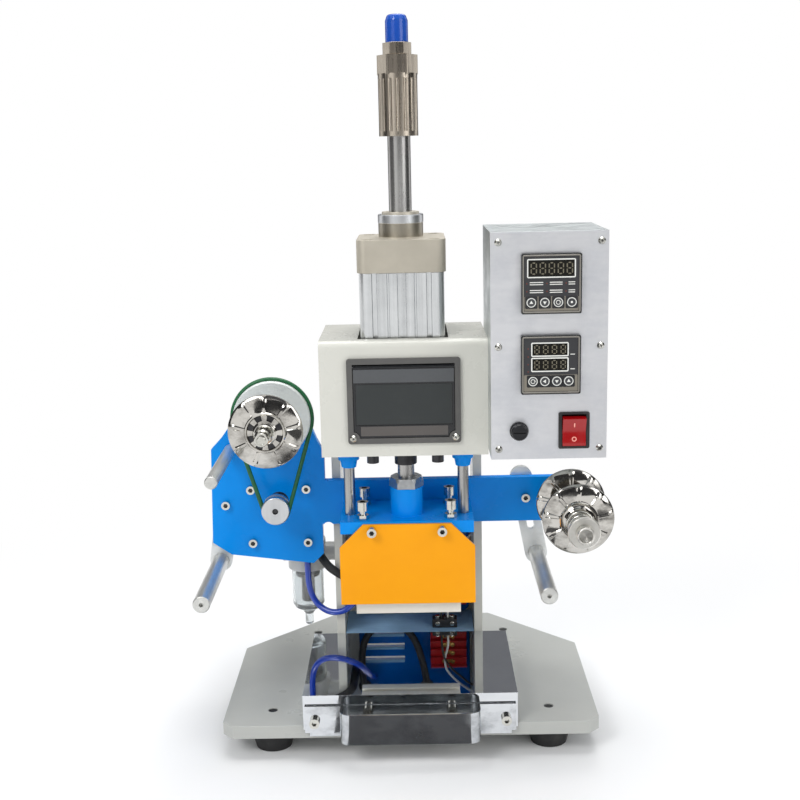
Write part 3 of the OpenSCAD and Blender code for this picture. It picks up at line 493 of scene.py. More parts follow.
def make_moulded_group():
    """Moulded plastic or rubber: fine grain and settled dust."""
    group, given = new_group("moulded_grain", "Colour", "Dust", "Dusting", "Gloss", "Grain")
    settled = ranged(group, noise(group, 40, 7, 0.7), 0.5, 0.8)
    dusting = times(group, settled, given["Dusting"])
    toned = blend_colour(group, dusting, given["Colour"], given["Dust"])
    rough = plus(group, given["Gloss"], times(group, settled, 0.15))
    return give(group, toned, rough, times(group, noise(group, 900, 2, 0.5), given["Grain"]))


GROUPS = {
    "coat": make_coat_group(),
    "drawn": make_drawn_group(),
    "polish": make_polish_group(),
    "moulded": make_moulded_group(),
}


def rgb(red, green, blue):
    """A colour as seen on screen, 0 to 255, as the shader takes it."""
    flat = [c / 255 for c in (red, green, blue)]
    return (*[c / 12.92 if c <= 0.04045 else ((c + 0.055) / 1.055) ** 2.4 for c in flat], 1)


LOOKS = {}


def finish(name, effect, values, shader=None, metallic=0.0, bump=0.05, depth=0.0003):
    """A look with one effect and its values in order; a screen colour has three numbers."""
    material = bpy.data.materials.new(name)
    material.use_nodes = True
    tree = material.node_tree
    principled = tree.nodes["Principled BSDF"]
    set_inputs(principled, {"Metallic": metallic, **(shader or {})})
    effect_node = tree.nodes.new("ShaderNodeGroup")
    effect_node.node_tree = GROUPS[effect]
    for socket, value in zip(effect_node.inputs, values):
        screen_colour = socket.type == "RGBA" and len(value) == 3
        socket.default_value = rgb(*value) if screen_colour else value
    link(tree, effect_node, "Colour", principled, "Base Color")
    link(tree, effect_node, "Roughness", principled, "Roughness")
    relief = tree.nodes.new("ShaderNodeBump")
    set_inputs(relief, {"Strength": bump, "Distance": depth})
    link(tree, effect_node, "Height", relief, "Height")
    link(tree, relief, "Normal", principled, "Normal")
    LOOKS[name] = material


def coat(name, *values, **extra):
    finish(name, "coat", values, **extra)


def drawn(name, *values, metallic=1.0, bump=0.05):
    finish(name, "drawn", values, None, metallic, bump)


def polish(name, *values, metallic=1.0, bump=0.05, depth=0.0003):
    finish(name, "polish", values, None, metallic, bump, depth)


def moulded(name, *values, bump, shader=None):
    finish(name, "moulded", values, shader, bump=bump)


def plain(name, colour, gloss, metallic=0.0, shine=0.5):
    """A finish for small print, lamps and brass, with a faint dusting."""
    dust = (*[min(1, c * 0.7 + 0.05) for c in rgb(*colour)[:3]], 1)
    values = (colour, dust, 0.25, gloss, 0.2)
    finish(name, "moulded", values, {"Specular IOR Level": shine}, metallic, 0.03)


# Paints and cast skins: colour, shade, mottle, scuffs, gloss, skin

LACQUER = {"Coat Weight": 0.2, "Coat Roughness": 0.12, "Specular IOR Level": 0.35}
THIN_LACQUER = {"Coat Weight": 0.08, "Coat Roughness": 0.14, "Specular IOR Level": 0.12}
BAY_LACQUER = {"Coat Weight": 0.15, "Coat Roughness": 0.06, "Specular IOR Level": 0.2}
CAST = {"metallic": 0.55, "bump": 0.2, "depth": 0.0005}

coat("grey_paint", (187, 188, 183), (159, 161, 157), 0.3, 0.5, 0.26, 0.6, shader=LACQUER)
coat("cream_paint", (215, 214, 205), (190, 189, 179), 0.22, 0.35, 0.24, 0.7, shader=LACQUER)
coat("azure_paint", (0, 146, 240), (0, 116, 206), 0.35, 0.5, 0.22, 0.5, shader=THIN_LACQUER)
coat("orange_paint", (255, 170, 18), (236, 142, 8), 0.3, 0.4, 0.26, 0.5, shader=THIN_LACQUER)
coat("motor_paint", (92, 95, 98), (60, 62, 64), 0.4, 0.5, 0.4, 0.6)
coat("bay_blue", (0, 84, 160), (0, 60, 124), 0.3, 0.3, 0.12, 0.3, shader=BAY_LACQUER)
# Pale blue for the louvre lips is painted highlight, so they read as bright stripes.
coat("louvre_painted_highlight", (136, 178, 208), (84, 130, 170), 0.6, 0.3, 0.15, 0.3)
coat("cast_alu", (206, 199, 184), (164, 157, 142), 0.6, 0.4, 0.42, 1.0, **CAST)
coat("die_alu", (240, 236, 225), (204, 199, 186), 0.4, 0.4, 0.4, 0.8, metallic=0.15, bump=0.1)
coat("hot_block", (96, 92, 88), (58, 52, 46), 0.7, 0.6, 0.45, 1.0, metallic=0.7, bump=0.2)

# Drawn and brushed metals: colour, shade, scale of the lines, lines, clouds, gloss

UPRIGHT = (260, 260, 6)
LEVEL = (60, 60, 240)
LENGTHWISE = (300, 8, 300)
CROSSWISE = (16, 300, 300)

drawn("drawn_alu", (214, 216, 218), (150, 153, 156), UPRIGHT, 0.16, 0.2, 0.24, bump=0.08)
drawn("barrel_alu", (218, 220, 221), (146, 150, 153), UPRIGHT, 0.18, 0.2, 0.14, bump=0.08)
drawn("panel_alu", (242, 243, 246), (194, 198, 206), LEVEL, 0.12, 0.4, 0.36)
# The box aluminium is a darker copy of the panel aluminium: painted shade, for the dark room its sides
# reflect.
drawn("case_alu_shaded", (212, 217, 217), (158, 165, 165), LEVEL, 0.14, 0.6, 0.3)
# The machined collar band is darker than the cap: painted dark reflection.
drawn("collar_alu_dark_reflection", (172, 166, 153), (122, 116, 104), (300, 300, 60), 0.3, 0.4, 0.26, bump=0.06)
drawn("satin_steel", (190, 192, 194), (120, 122, 124), (300, 300, 300), 0.3, 0.3, 0.24)
drawn("rod_steel", (188, 187, 185), (112, 111, 110), (420, 420, 3), 0.35, 0.25, 0.2)
drawn("nickel", (196, 186, 172), (136, 126, 112), (420, 420, 12), 0.25, 0.2, 0.2, bump=0.04)
drawn("hub_zinc", (232, 230, 224), (172, 170, 162), LENGTHWISE, 0.25, 0.4, 0.24, bump=0.06, metallic=0.85)
drawn("roller_satin", (226, 226, 222), (146, 146, 143), LENGTHWISE, 0.2, 0.3, 0.25, bump=0.04, metallic=0.8)
drawn("drum_alu", (234, 238, 237), (188, 193, 192), LENGTHWISE, 0.16, 0.4, 0.4, bump=0.06, metallic=0.4)
# The table steel's blue tint is painted reflection of the blue parts above it.
drawn("table_steel", (164, 204, 236), (122, 160, 192), CROSSWISE, 0.2, 0.5, 0.3, bump=0.06, metallic=0.15)

# Plated and polished metals: colour, haze, wipes, gloss

polish("mirror_steel", (225, 228, 231), (180, 184, 188), 0.22, 0.025, bump=0.02, depth=0.0001)
polish("wheel_chrome", (206, 203, 197), (84, 80, 74), 0.85, 0.05, bump=0.03, depth=0.0001)
polish("worn_chrome", (222, 225, 228), (134, 138, 142), 0.85, 0.06, bump=0.04, depth=0.0001)
polish("bright_zinc", (214, 213, 206), (150, 150, 142), 0.5, 0.14)
polish("bracket_zinc", (228, 230, 228), (176, 178, 174), 0.6, 0.3, metallic=0.5)
polish("dark_steel", (70, 70, 72), (38, 38, 40), 0.6, 0.3)

# Plastics and rubber: colour, dust, dusting, gloss, grain

CLEAR = {"Transmission Weight": 0.9, "IOR": 1.5}
TINTED = {"Transmission Weight": 0.35, "IOR": 1.49}
GLAZED = {"Coat Weight": 0.3}
WET = {"Coat Weight": 0.4}

moulded("black_plastic", (36, 36, 37), (110, 108, 104), 0.15, 0.45, 0.8, bump=0.15)
moulded("bezel_grey", (88, 87, 85), (130, 126, 118), 0.3, 0.5, 0.8, bump=0.15)
moulded("gloss_black", (26, 27, 30), (96, 96, 96), 0.08, 0.16, 0.15, bump=0.04)
moulded("key_plastic", (58, 59, 62), (120, 120, 118), 0.1, 0.4, 0.6, bump=0.1)
moulded("red_plastic", (160, 10, 15), (206, 70, 64), 0.06, 0.14, 0.1, bump=0.03, shader=GLAZED)
moulded("rubber_black", (30, 30, 31), (120, 118, 112), 0.25, 0.6, 1.0, bump=0.25)
moulded("belt_green", (18, 96, 54), (80, 136, 100), 0.3, 0.4, 0.5, bump=0.1)
moulded("hose_blue", (20, 62, 176), (80, 120, 200), 0.1, 0.18, 0.1, bump=0.03, shader=WET)
moulded("filter_white", (214, 214, 210), (170, 168, 160), 0.3, 0.35, 0.6, bump=0.1)
moulded("cap_blue", (40, 96, 205), (120, 160, 225), 0.15, 0.15, 0.1, bump=0.03, shader=TINTED)
moulded("bowl_clear", (240, 244, 245), (200, 204, 204), 0.08, 0.06, 0.05, bump=0.02, shader=CLEAR)

# Print, lamps and small trim: colour, gloss

plain("print_white", (232, 232, 226), 0.4)
plain("print_pink", (255, 176, 160), 0.35)
plain("segment_tan", (124, 118, 100), 0.35)
plain("lens_black", (22, 21, 17), 0.2, shine=0.15)
plain("lamp_dark", (120, 60, 50), 0.2)
plain("silver_trim", (150, 146, 138), 0.34, metallic=0.6)
plain("taupe_face", (128, 122, 110), 0.42)
plain("slate_face", (60, 60, 62), 0.36, shine=0.25)
plain("brass", (212, 178, 110), 0.25, metallic=1.0)
plain("terminal_red", (176, 24, 30), 0.3)
plain("terminal_black", (30, 30, 34), 0.35)
plain("flap_grey", (88, 90, 92), 0.5, shine=0.25)
plain("flap_pad", (59, 62, 62), 0.55, shine=0.2)
plain("flap_strip", (94, 90, 87), 0.5, shine=0.25)
plain("element_grey", (112, 104, 96), 0.5)

# CAD nodes with rounded edges or better finishes

for node, edge, look in (
    ("base_plate", 1.2, "grey_paint"),
    ("frame", 0.8, "cream_paint"),
    ("head_shell", 1.6, "cream_paint"),
    ("cylinder_barrel", 0.5, "barrel_alu"),
    ("cylinder_caps", 1.0, "cast_alu"),
    ("guide_bushes", 0.4, "azure_paint"),
    ("bezel", 0.6, "bezel_grey"),
    ("foil_plate", 0.8, "azure_paint"),
    ("motor", 0.8, "motor_paint"),
    ("anvil", 0.8, "table_steel"),
    ("control_box", 1.0, "case_alu_shaded"),
    ("front_panel", 0.4, "panel_alu"),
    ("instruments", 0.4, "gloss_black"),
    ("rocker_frame", 0.4, "black_plastic"),
    ("filter_head", 0.8, "filter_white"),
    ("filter_bowl", 0.4, "bowl_clear"),
    ("piston_rod", 0.3, "rod_steel"),
    ("rod_nut", 0.4, "satin_steel"),
    ("slider", 0.8, "azure_paint"),
    ("guide_rods", 0.4, "rod_steel"),
    ("guard", 0.6, "orange_paint"),
    ("hot_plate", 0.6, "hot_block"),
    ("die_plate", 0.5, "die_alu"),
    ("stroke_sleeve", 0.3, "nickel"),
    ("top_nut", 0.4, "nickel"),
    ("end_cap", 0.6, "cap_blue"),
    ("tray", 0.6, "mirror_steel"),
    ("handle", 0.5, "worn_chrome"),
    ("takeup_pulley", 0.4, "drum_alu"),
    ("drive_pulley", 0.4, "drawn_alu"),
    ("flap", 0.5, "gloss_black"),
    ("rocker", 0.5, "red_plastic"),
    ("fuse_cap", 0.4, "gloss_black"),
):
    dressed(node, edge, look)

repaint("rubber_black", "feet")
repaint("dark_steel", "floor_screws")
repaint("bright_zinc", "pan_screws", "plate_screws", "level_bolts", "guard_screws", "tray_screws")
repaint("roller_satin", "roller_upper", "roller_left", "roller_right")
repaint("key_plastic", *[f"{kind}_key_{i}" for kind in ("counter", "temp") for i in range(1, 5)])

# Faces of the two instruments, printed in thin layers on their floor

METER_HALF = 24
METER_FRONT = -92.0
METER_FLOOR = -91.4
FACE_LAYER = (METER_FLOOR - 0.12, METER_FLOOR)
PAD_LAYER = (METER_FLOOR - 0.25, METER_FLOOR - 0.12)
LINE_LAYER = (METER_FLOOR - 0.42, METER_FLOOR - 0.1)
PANE_LAYER = (METER_FLOOR - 0.2, METER_FLOOR - 0.1)
NUMBER_LAYER = (METER_FLOOR - 0.3, METER_FLOOR - 0.19)
MARK_LAYER = (METER_FLOOR - 0.22, METER_FLOOR - 0.11)
LAMP = [(0.55, 0), (0.55, -0.25), (0.3, -0.45), (0.05, -0.5)]
LAMP_FOOT = METER_FLOOR - 0.1
PAD_HALF = 4.9


def key_spots(centre, row, pitch):
    """The middles of an instrument's four keys."""
    return [(centre[0] + (i - 1.5) * pitch, centre[1] + row) for i in range(4)]


def key_hole(x, z, radius):
    """A cutter for the room round a key."""
    return turned([(radius, -1), (radius, 1)], (x, METER_FLOOR, z), "Y", 40)


def eight(size, at_x, at_z):
    """All seven bars of one number of a display."""
    width, height, stroke = size[0] / 2, size[1] / 2, size[2] / 2
    bars = [(2 * stroke - width, width - 2 * stroke, z - stroke, z + stroke) for z in (-height, 0, height)]
    for x in (-width, width):
        bars.append((x - stroke, x + stroke, stroke - height, -stroke))
        bars.append((x - stroke, x + stroke, stroke, height - stroke))
    back, front = NUMBER_LAYER
    parts = []
    for x0, x1, z0, z1 in bars:
        parts.append(slab((at_x + x0, back, at_z + z0), (at_x + x1, front, at_z + z1), size[2] * 0.3, 1))
    return joined(parts)


def on_meter(pieces, name, look, smooth=32):
    place(pieces, name, look, smooth)


def meter_face(name, centre, keys, split, displays, digits, digit_size, lamps, bars):
    """The printed face of one instrument: trim, windows, numbers, lamps and pads."""
    x, z = centre
    rim, half = METER_HALF - 1.0, METER_HALF - 2.4
    trim = frame_ring(x - rim, x + rim, z - rim, z + rim, 1.1, METER_FRONT - 0.25, METER_FRONT + 0.3, 1.4)
    on_meter([soften(trim, 0.12, 1, 60)], name + "_trim", "silver_trim")
    face = rounded_plate(x - half, x + half, z + split, z + half, *FACE_LAYER, 0.8)
    on_meter([face], name + "_face", "slate_face")
    lower = rounded_plate(x - half, x + half, z - half, z + split - 0.1, *FACE_LAYER, 0.8)
    cut_by(lower, [key_hole(*spot, 4.45) for spot in keys])
    on_meter([lower], name + "_lower_face", "taupe_face")
    pads = []
    for kx, kz in keys:
        pad = rounded_plate(kx - PAD_HALF, kx + PAD_HALF, kz - PAD_HALF, kz + PAD_HALF, *PAD_LAYER, 0.9)
        pads.append(cut_by(pad, [key_hole(kx, kz, 4.4)]))
    on_meter(pads, name + "_key_pads", "gloss_black")
    frames, panes, numbers = [], [], []
    for x0, x1, z0, z1 in displays:
        frames.append(frame_ring(x + x0, x + x1, z + z0, z + z1, 0.95, *LINE_LAYER, 1.2))
        pane = (x + x0 + 0.9, x + x1 - 0.9, z + z0 + 0.9, z + z1 - 0.9)
        panes.append(rounded_plate(*pane, *PANE_LAYER, 0.4))
        for dx in digits:
            numbers.append(eight(digit_size, x + dx, z + (z0 + z1) / 2))
    on_meter(frames, name + "_window_lines", "print_white")
    on_meter(panes, name + "_windows", "lens_black")
    on_meter(numbers, name + "_numbers", "segment_tan", 0)
    spots = [turned(LAMP, (x + dx, LAMP_FOOT, z + dz), "Y", 12) for dx, dz in lamps]
    on_meter(spots, name + "_lamps", "lamp_dark")
    back, front = MARK_LAYER
    marks = []
    for x0, x1, dz in bars:
        marks.append(slab((x + x0, back, z + dz - 0.35), (x + x1, front, z + dz + 0.35), 0.08, 1))
    on_meter(marks, name + "_marks", "print_white")


COUNTER = (119.1, 411.7)
COUNTER_KEYS = key_spots(COUNTER, -14.8, 10.7)
COUNTER_ROWS = (0.3, -6.0)
COUNTER_WORDS = ((-17.2, -6.6), (-1.4, 8.6), (13.4, 18.6))
meter_face(
    "counter", COUNTER, COUNTER_KEYS, -9.9,
    displays=[(-19.4, 19.1, 4.7, 19.8)],
    digits=[-14.1, -7.0, 0.1, 7.2, 14.3],
    digit_size=(4.1, 8.6, 0.95),
    lamps=[(dx, dz) for dx in (-19.6, -3.6, 11.4) for dz in COUNTER_ROWS],
    bars=[(*word, dz + s) for word in COUNTER_WORDS for dz in COUNTER_ROWS for s in (0.85, -0.85)],
)
TEMPERATURE = (118.8, 346.5)
TEMPERATURE_KEYS = key_spots(TEMPERATURE, -13.3, 9.57)
meter_face(
    "temperature", TEMPERATURE, TEMPERATURE_KEYS, -8.0,
    displays=[(-15.8, 14.2, 6.8, 18.3), (-15.8, 14.2, -5.6, 6.0)],
    digits=[-11.2, -4.2, 2.8, 9.8],
    digit_size=(3.5, 6.6, 0.8),
    lamps=[(-18.2, dz) for dz in (13.3, 6.8, 0.5, -5.4)],
    bars=[(15.6, 19.2, dz) for dz in (8.4, -3.5)],
)

# Marks on the keys

KEY_PRINT = (METER_FRONT - 0.16, METER_FRONT + 0.02)
ARROW_TURN = {"up": 180, "down": 0, "left": 90}


def arrow(x, z, heading, size):
    """A filled arrow head that points up, down or left."""
    back, front = KEY_PRINT
    head = turned([(size, 0), (size, front - back)], (x, back, z), "Y", 3)
    return swung(head, ARROW_TURN[heading], (x, 0, z), "Y")


def key_mark(name, body, x, z, sign):
    """The white ring and sign on one round key."""
    parts = [washer(3.75, 3.1, *KEY_PRINT, (x, 0, z), 40)]
    if sign == "loop":
        parts.append(washer(1.9, 1.35, *KEY_PRINT, (x, 0, z), 24))
        parts.append(arrow(x + 1.6, z, "down", 0.9))
    elif sign == "dot":
        parts.append(turned([(0.9, y) for y in KEY_PRINT], (x, 0, z), "Y", 20))
    else:
        parts.append(arrow(x, z, sign, 1.7))
    place(parts, name, "print_white", body=body)


for kind, keys, signs in (
    ("counter", COUNTER_KEYS, ("up", "down", "loop", "dot")),
    ("temp", TEMPERATURE_KEYS, ("loop", "left", "down", "up")),
):
    for i, (spot, sign) in enumerate(zip(keys, signs), 1):
        key_mark(f"{kind}_key_{i}_mark", f"{kind}_button_{i}", *spot, sign)

# Rocker marks: a bar above for on and a ring below for off

SWITCH_X, SWITCH_Z = 138.3, 291.3
ROCKER_PIVOT = (SWITCH_X, -84.5, SWITCH_Z)
ROCKER_PRINT = (-90.38, -90.2)
ROCKER_SLOPE = 13.35
ROCKER_REST = 9
ON_Z, OFF_Z = SWITCH_Z + 6.0, SWITCH_Z - 6.2
on_bar = bar(SWITCH_X, ON_Z, 0.45, 2.0, *ROCKER_PRINT, 0.06)
swung(on_bar, ROCKER_SLOPE, (SWITCH_X, -90.32, ON_Z), "X")
off_ring = washer(2.0, 1.25, *ROCKER_PRINT, (SWITCH_X, 0, OFF_Z), 32)
swung(off_ring, -ROCKER_SLOPE, (SWITCH_X, -90.37, OFF_Z), "X")
rocker_marks = swung(joined([on_bar, off_ring]), ROCKER_REST, ROCKER_PIVOT, "X")
place([rocker_marks], "rocker_marks", "print_pink", body="power_rocker")

# Pressed flanges of the two reels

TAKEUP_X, TAKEUP_Z = -120, 282.5
TAKEUP_FRONT = -35.0
TAKEUP_WHEEL = (TAKEUP_X, TAKEUP_FRONT - 0.4, TAKEUP_Z)
FEED_X, FEED_Z = 149, 200.5
FOLDS = 9
FOLD_HEIGHT = 0.75
POCKET_DEPTH = 1.5


def pressed_flange(r, bore, hub, ring, at, pockets=0):
    """A chromed flange: a cone with pressed radial folds round a raised ring."""
    back = [(bore, 0), (hub, 0), (hub, -2.4), (ring, -2.2), (r - 7, -1.0)]
    rim = [(r - 1.6, 1.1), (r - 0.6, 1.3), (r, 0.8), (r, -0.2), (r - 0.8, -0.9), (r - 2.2, -1.5)]
    cone = [(r - 6, -3.0), (ring + 3, -4.2), (ring + 1.6, -4.6)]
    raised = [(ring + 0.8, -5.7), (ring - 0.4, -5.7), (ring - 1.2, -4.6)]
    boss = [(hub + 1.2, -5.0), (hub, -6.0), (hub, -7.6), (hub - 0.5, -8), (bore, -8), (bore, 0)]
    piece = turned(back + rim + cone + raised + boss, at, "Y", FOLDS * 16, ring=True)
    step = 360 / FOLDS

    def polar(point):
        spot = (point - Vector(at) * MM) / MM
        return math.hypot(spot.x, spot.z), math.degrees(math.atan2(spot.z, spot.x)) % 360, spot.y

    def on_fold(vertex):
        radius, angle, depth = polar(vertex.co)
        near = abs((angle + step / 4) % step - step / 2)
        return ring + 2.6 < radius < r - 1.9 and depth < -1.2 and near < step / 16 + 0.2

    pick(piece, "VERT", on_fold)
    push(-FOLD_HEIGHT)
    close_mesh()
    if pockets:
        span = 360 / pockets

        def in_pocket(face):
            radius, angle, depth = polar(face.center)
            inside = hub + 1.0 < radius < ring - 1.0 and depth < -4.2
            return inside and abs(angle % span - span / 2) < span * 0.3

        pick(piece, "FACE", in_pocket)
        bpy.ops.mesh.inset(thickness=0.35 * MM, use_individual=False)
        push(POCKET_DEPTH)
        close_mesh()
    return piece


wheel = pressed_flange(32.6, 4.05, 9.5, 16.4, TAKEUP_WHEEL, pockets=8)
takeup_wheel = place([wheel], "takeup_wheel", "wheel_chrome", 24, "takeup_reel")
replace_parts(takeup_wheel, "takeup_disc")

NUT_FOOT = [(4.05, -16.4), (4.05, -8.4), (8.4, -8.4), (8.4, -10.2)]
NUT_TAPER = [(7.6, -11), (7.0, -22), (6.1, -23), (6.1, -30.4), (5.5, -31)]
NUT_TIP = [(4.4, -31), (4.4, -30), (3.7, -30), (3.7, -32.6), (3.2, -33), (0.1, -33.1)]
hub_nut = turned(NUT_FOOT + NUT_TAPER + NUT_TIP, (TAKEUP_X, TAKEUP_FRONT, TAKEUP_Z), "Y", 48)
place([hub_nut], "takeup_hub_nut", "bright_zinc", body="takeup_reel")

flanges = [pressed_flange(31.3, 8.05, 12, 15.2, (FEED_X, y, FEED_Z)) for y in (9, -41)]
feed_wheels = place(flanges, "feed_wheels", "wheel_chrome", 24, "feed_reel")
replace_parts(feed_wheels, "feed_discs")

# Feed hub and axle, whose front is drawn forward with the spring that it presses on the wheel

HUB_REACH = 14.0
COLLAR_THINNED = 4.0
COLLAR_BACK = -58.0
COLLAR_MIDDLE = -62.0
AXLE_END = -89.0


def drawn_forward(piece, behind, ahead, reach):
    """Moves what lies between two places along Y forward, so that the stem behind it grows."""
    pick(piece, "VERT", lambda spot: ahead * MM < spot.co.y < behind * MM)
    push(-reach)
    close_mesh()


feed_collar = dressed("feed_hub", 0.3, "hub_zinc")
drawn_forward(feed_collar, COLLAR_MIDDLE, -math.inf, HUB_REACH)
drawn_forward(feed_collar, COLLAR_BACK + 0.5, COLLAR_MIDDLE, HUB_REACH + COLLAR_THINNED)
feed_end = dressed("feed_axle", 0.3, "hub_zinc")
drawn_forward(feed_end, COLLAR_BACK, -math.inf, HUB_REACH)
pick(feed_end, "FACE", lambda face: face.normal.y < -0.9 and face.center.y < (AXLE_END + 0.2) * MM)
bpy.ops.mesh.inset(thickness=1.5 * MM)
push(1.3)
bpy.ops.mesh.inset(thickness=0.8 * MM)
close_mesh()

# Slotted arms of the lower rollers, with the slot run on below the foil plate

SLOT_HALF = 3.2
SLOT_LOW, SLOT_HIGH = 27, 46
SLOT_FRONT, SLOT_BACK = 45, 60
slots = []
for x, z, lean in ((-179, 136.5, 8.8), (121.8, 139, -10.8)):
    straight = slab((-SLOT_HALF, SLOT_FRONT, SLOT_LOW), (SLOT_HALF, SLOT_BACK, SLOT_HIGH))
    rounded = turned([(SLOT_HALF, SLOT_FRONT), (SLOT_HALF, SLOT_BACK)], (0, 0, SLOT_LOW), "Y", 32)
    for cutter in (straight, rounded):
        cutter.rotation_euler = (0, math.radians(lean), 0)
        cutter.location = Vector((x, 0, z)) * MM
        slots.append(settle(cutter))
dressed("roller_brackets", 0.6, "bracket_zinc", slots)

# Wound spring and round belt

COIL_TURNS = 3
COIL_PER_TURN = 32
COIL_STEPS = COIL_PER_TURN * COIL_TURNS
COIL_FRONT = COLLAR_BACK - HUB_REACH - COLLAR_THINNED + 1.4
COIL_BACK = -50.2
COIL_RADIUS, COIL_FLARE = 9.5, 2.0
COIL_WIRE = 1.3
coil = []
for i in range(COIL_STEPS + 1):
    a = math.radians(360 * i / COIL_PER_TURN)
    share = i / COIL_STEPS
    radius = COIL_RADIUS + COIL_FLARE * share
    along = COIL_FRONT + (COIL_BACK - COIL_FRONT) * share
    coil.append((FEED_X + radius * math.cos(a), along, FEED_Z + radius * math.sin(a)))
spring = tube(coil, COIL_WIRE, 12)
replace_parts(place([spring], "feed_spring_wire", "bright_zinc", 60, "feed_reel"), "feed_spring")

DRIVE_Z = 197
BELT_Y = 16
LARGE, SMALL = 36, 11.5
belt_turn = math.asin((LARGE - SMALL) / (TAKEUP_Z - DRIVE_Z))
loop = []
for z, radius, start, sweep, steps in (
    (TAKEUP_Z, LARGE, -belt_turn, math.pi + 2 * belt_turn, 64),
    (DRIVE_Z, SMALL, math.pi + belt_turn, math.pi - 2 * belt_turn, 32),
):
    for i in range(steps + 1):
        a = start + sweep * i / steps
        loop.append((TAKEUP_X + radius * math.cos(a), BELT_Y, z + radius * math.sin(a)))
round_belt = tube(loop, 2, 16, closed=True)
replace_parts(place([round_belt], "round_belt", "belt_green", 60), "belt")

# Hose and cable


def laid(name, route, radius, sides, look, node=None):
    """A round lead on a smooth run along its route, with both ends on the object."""
    line = through(route, 6)
    lead = place([tube(line, radius, sides)], name, look, 60)
    if node:
        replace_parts(lead, node)


HOSE = [
    (-97, 56, 135), (-97, 56, 122), (-96.5, 56, 110), (-94, 55, 99), (-89, 52, 91),
    (-82, 48.5, 86), (-74, 45.5, 84), (-65, 44.5, 85), (-57, 46.5, 89), (-50, 52, 95),
    (-45, 61, 104), (-41, 72, 114), (-38, 84, 122), (-36.5, 95, 127), (-36.5, 106, 127),
]
CABLE = [
    (-85.6, 55.5, 152), (-85.6, 55.5, 147), (-85.4, 55.5, 143), (-84.3, 55.3, 139),
    (-82.3, 54.2, 135.3), (-79.3, 51.4, 132), (-75.5, 47.6, 129), (-71, 45, 126.2),
    (-65.5, 43.7, 123), (-60.5, 45, 120), (-57.5, 49.5, 118.3), (-56.5, 57, 118),
    (-56.5, 68, 119), (-56.5, 82, 121), (-56.5, 95, 122), (-56.5, 106, 122),
]
laid("air_line", HOSE, 3.0, 20, "hose_blue", "air_hose")
laid("motor_lead", CABLE, 4.0, 20, "rubber_black", "motor_cable")

# Bay behind the work tray: louvred cover, terminals and heater wires

COVER = (-52, 60, 62, 158)
COVER_FRONT = 96
LOUVRE_X0, LOUVRE_X1 = -46, -6
LOUVRES = [(78 + 14 * i, 84 + 14 * i) for i in range(3)]
cover = rounded_plate(*COVER, COVER_FRONT, 106, 8, 2.5)
cut_by(cover, [slab((LOUVRE_X0, 90, low), (LOUVRE_X1, 110, high)) for low, high in LOUVRES])
place([cover], "bay_cover", "bay_blue")
# The lips are coloured pale as a painted highlight along each louvre.
lips = []
for low, high in LOUVRES:
    lip = slab((LOUVRE_X0, 94.6, high - 2.4), (LOUVRE_X1, 97, high + 0.8), 1.0, 3)
    lips.append(swung(lip, 24, (0, COVER_FRONT, high), "X"))
place(lips, "bay_cover_lips", "louvre_painted_highlight")

STRIP_X, STRIP_Z, STRIP_HALF = 38, 94, 18
STRIP_WAYS = 4
STRIP_PITCH = 2 * STRIP_HALF / STRIP_WAYS
CLAMP_HALF = 4
CLAMP_SCREW = [(2.4, -10), (2.4, -12), (2.0, -12.5), (0.1, -12.7)]
strip = [bar(STRIP_X, STRIP_Z, STRIP_HALF, STRIP_HALF, COVER_FRONT - 9, COVER_FRONT + 1, 0.8, 2)]
for i in range(STRIP_WAYS + 1):
    z = STRIP_Z - STRIP_HALF + STRIP_PITCH * i
    strip.append(bar(STRIP_X, z, STRIP_HALF, 0.8, COVER_FRONT - 15, COVER_FRONT - 8, 0.3))
place(strip, "terminal_strip", "terminal_red")
clamps = []
for i in range(STRIP_WAYS):
    z = STRIP_Z - STRIP_HALF + STRIP_PITCH * (i + 0.5)
    clamps.append(bar(STRIP_X, z, CLAMP_HALF, 2.2, COVER_FRONT - 10.1, COVER_FRONT - 8.8, 0.3))
    for x in (STRIP_X - CLAMP_HALF, STRIP_X + CLAMP_HALF):
        screw = turned(CLAMP_SCREW, (x, COVER_FRONT, z), "Y", 24)
        groove = bar(x, z, 3, 0.35, COVER_FRONT - 14, COVER_FRONT - 11.9)
        clamps.append(cut_by(screw, [groove]))
place(clamps, "terminal_strip_screws", "brass")

TABLE = 60.5
BENCH_Y = 64
BENCH_SCREW = [(2.7, 8.2), (2.7, 10), (2.2, 10.6), (0.1, 10.8)]
WIRE_SCREW = [(2.2, 58.4), (2.2, 57.2), (1.8, 56.9), (0.1, 56.8)]
block = slab((22, BENCH_Y - 6, TABLE), (46, BENCH_Y + 6, TABLE + 8.5), 0.8)
wall = slab((33, BENCH_Y - 5, TABLE + 8), (35, BENCH_Y + 5, TABLE + 10.5), 0.4)
place([block, wall], "heater_terminal", "terminal_black")
bench_screws = []
for x in (27, 41):
    screw = turned(BENCH_SCREW, (x, BENCH_Y, TABLE), "Z", 24)
    groove = slab((x - 3, BENCH_Y - 0.4, TABLE + 9.9), (x + 3, BENCH_Y + 0.4, TABLE + 12))
    bench_screws.append(cut_by(screw, [groove]))
    bench_screws.append(turned(WIRE_SCREW, (x, 0, TABLE + 4.4), "Y", 24))
place(bench_screws, "heater_terminal_screws", "bright_zinc")

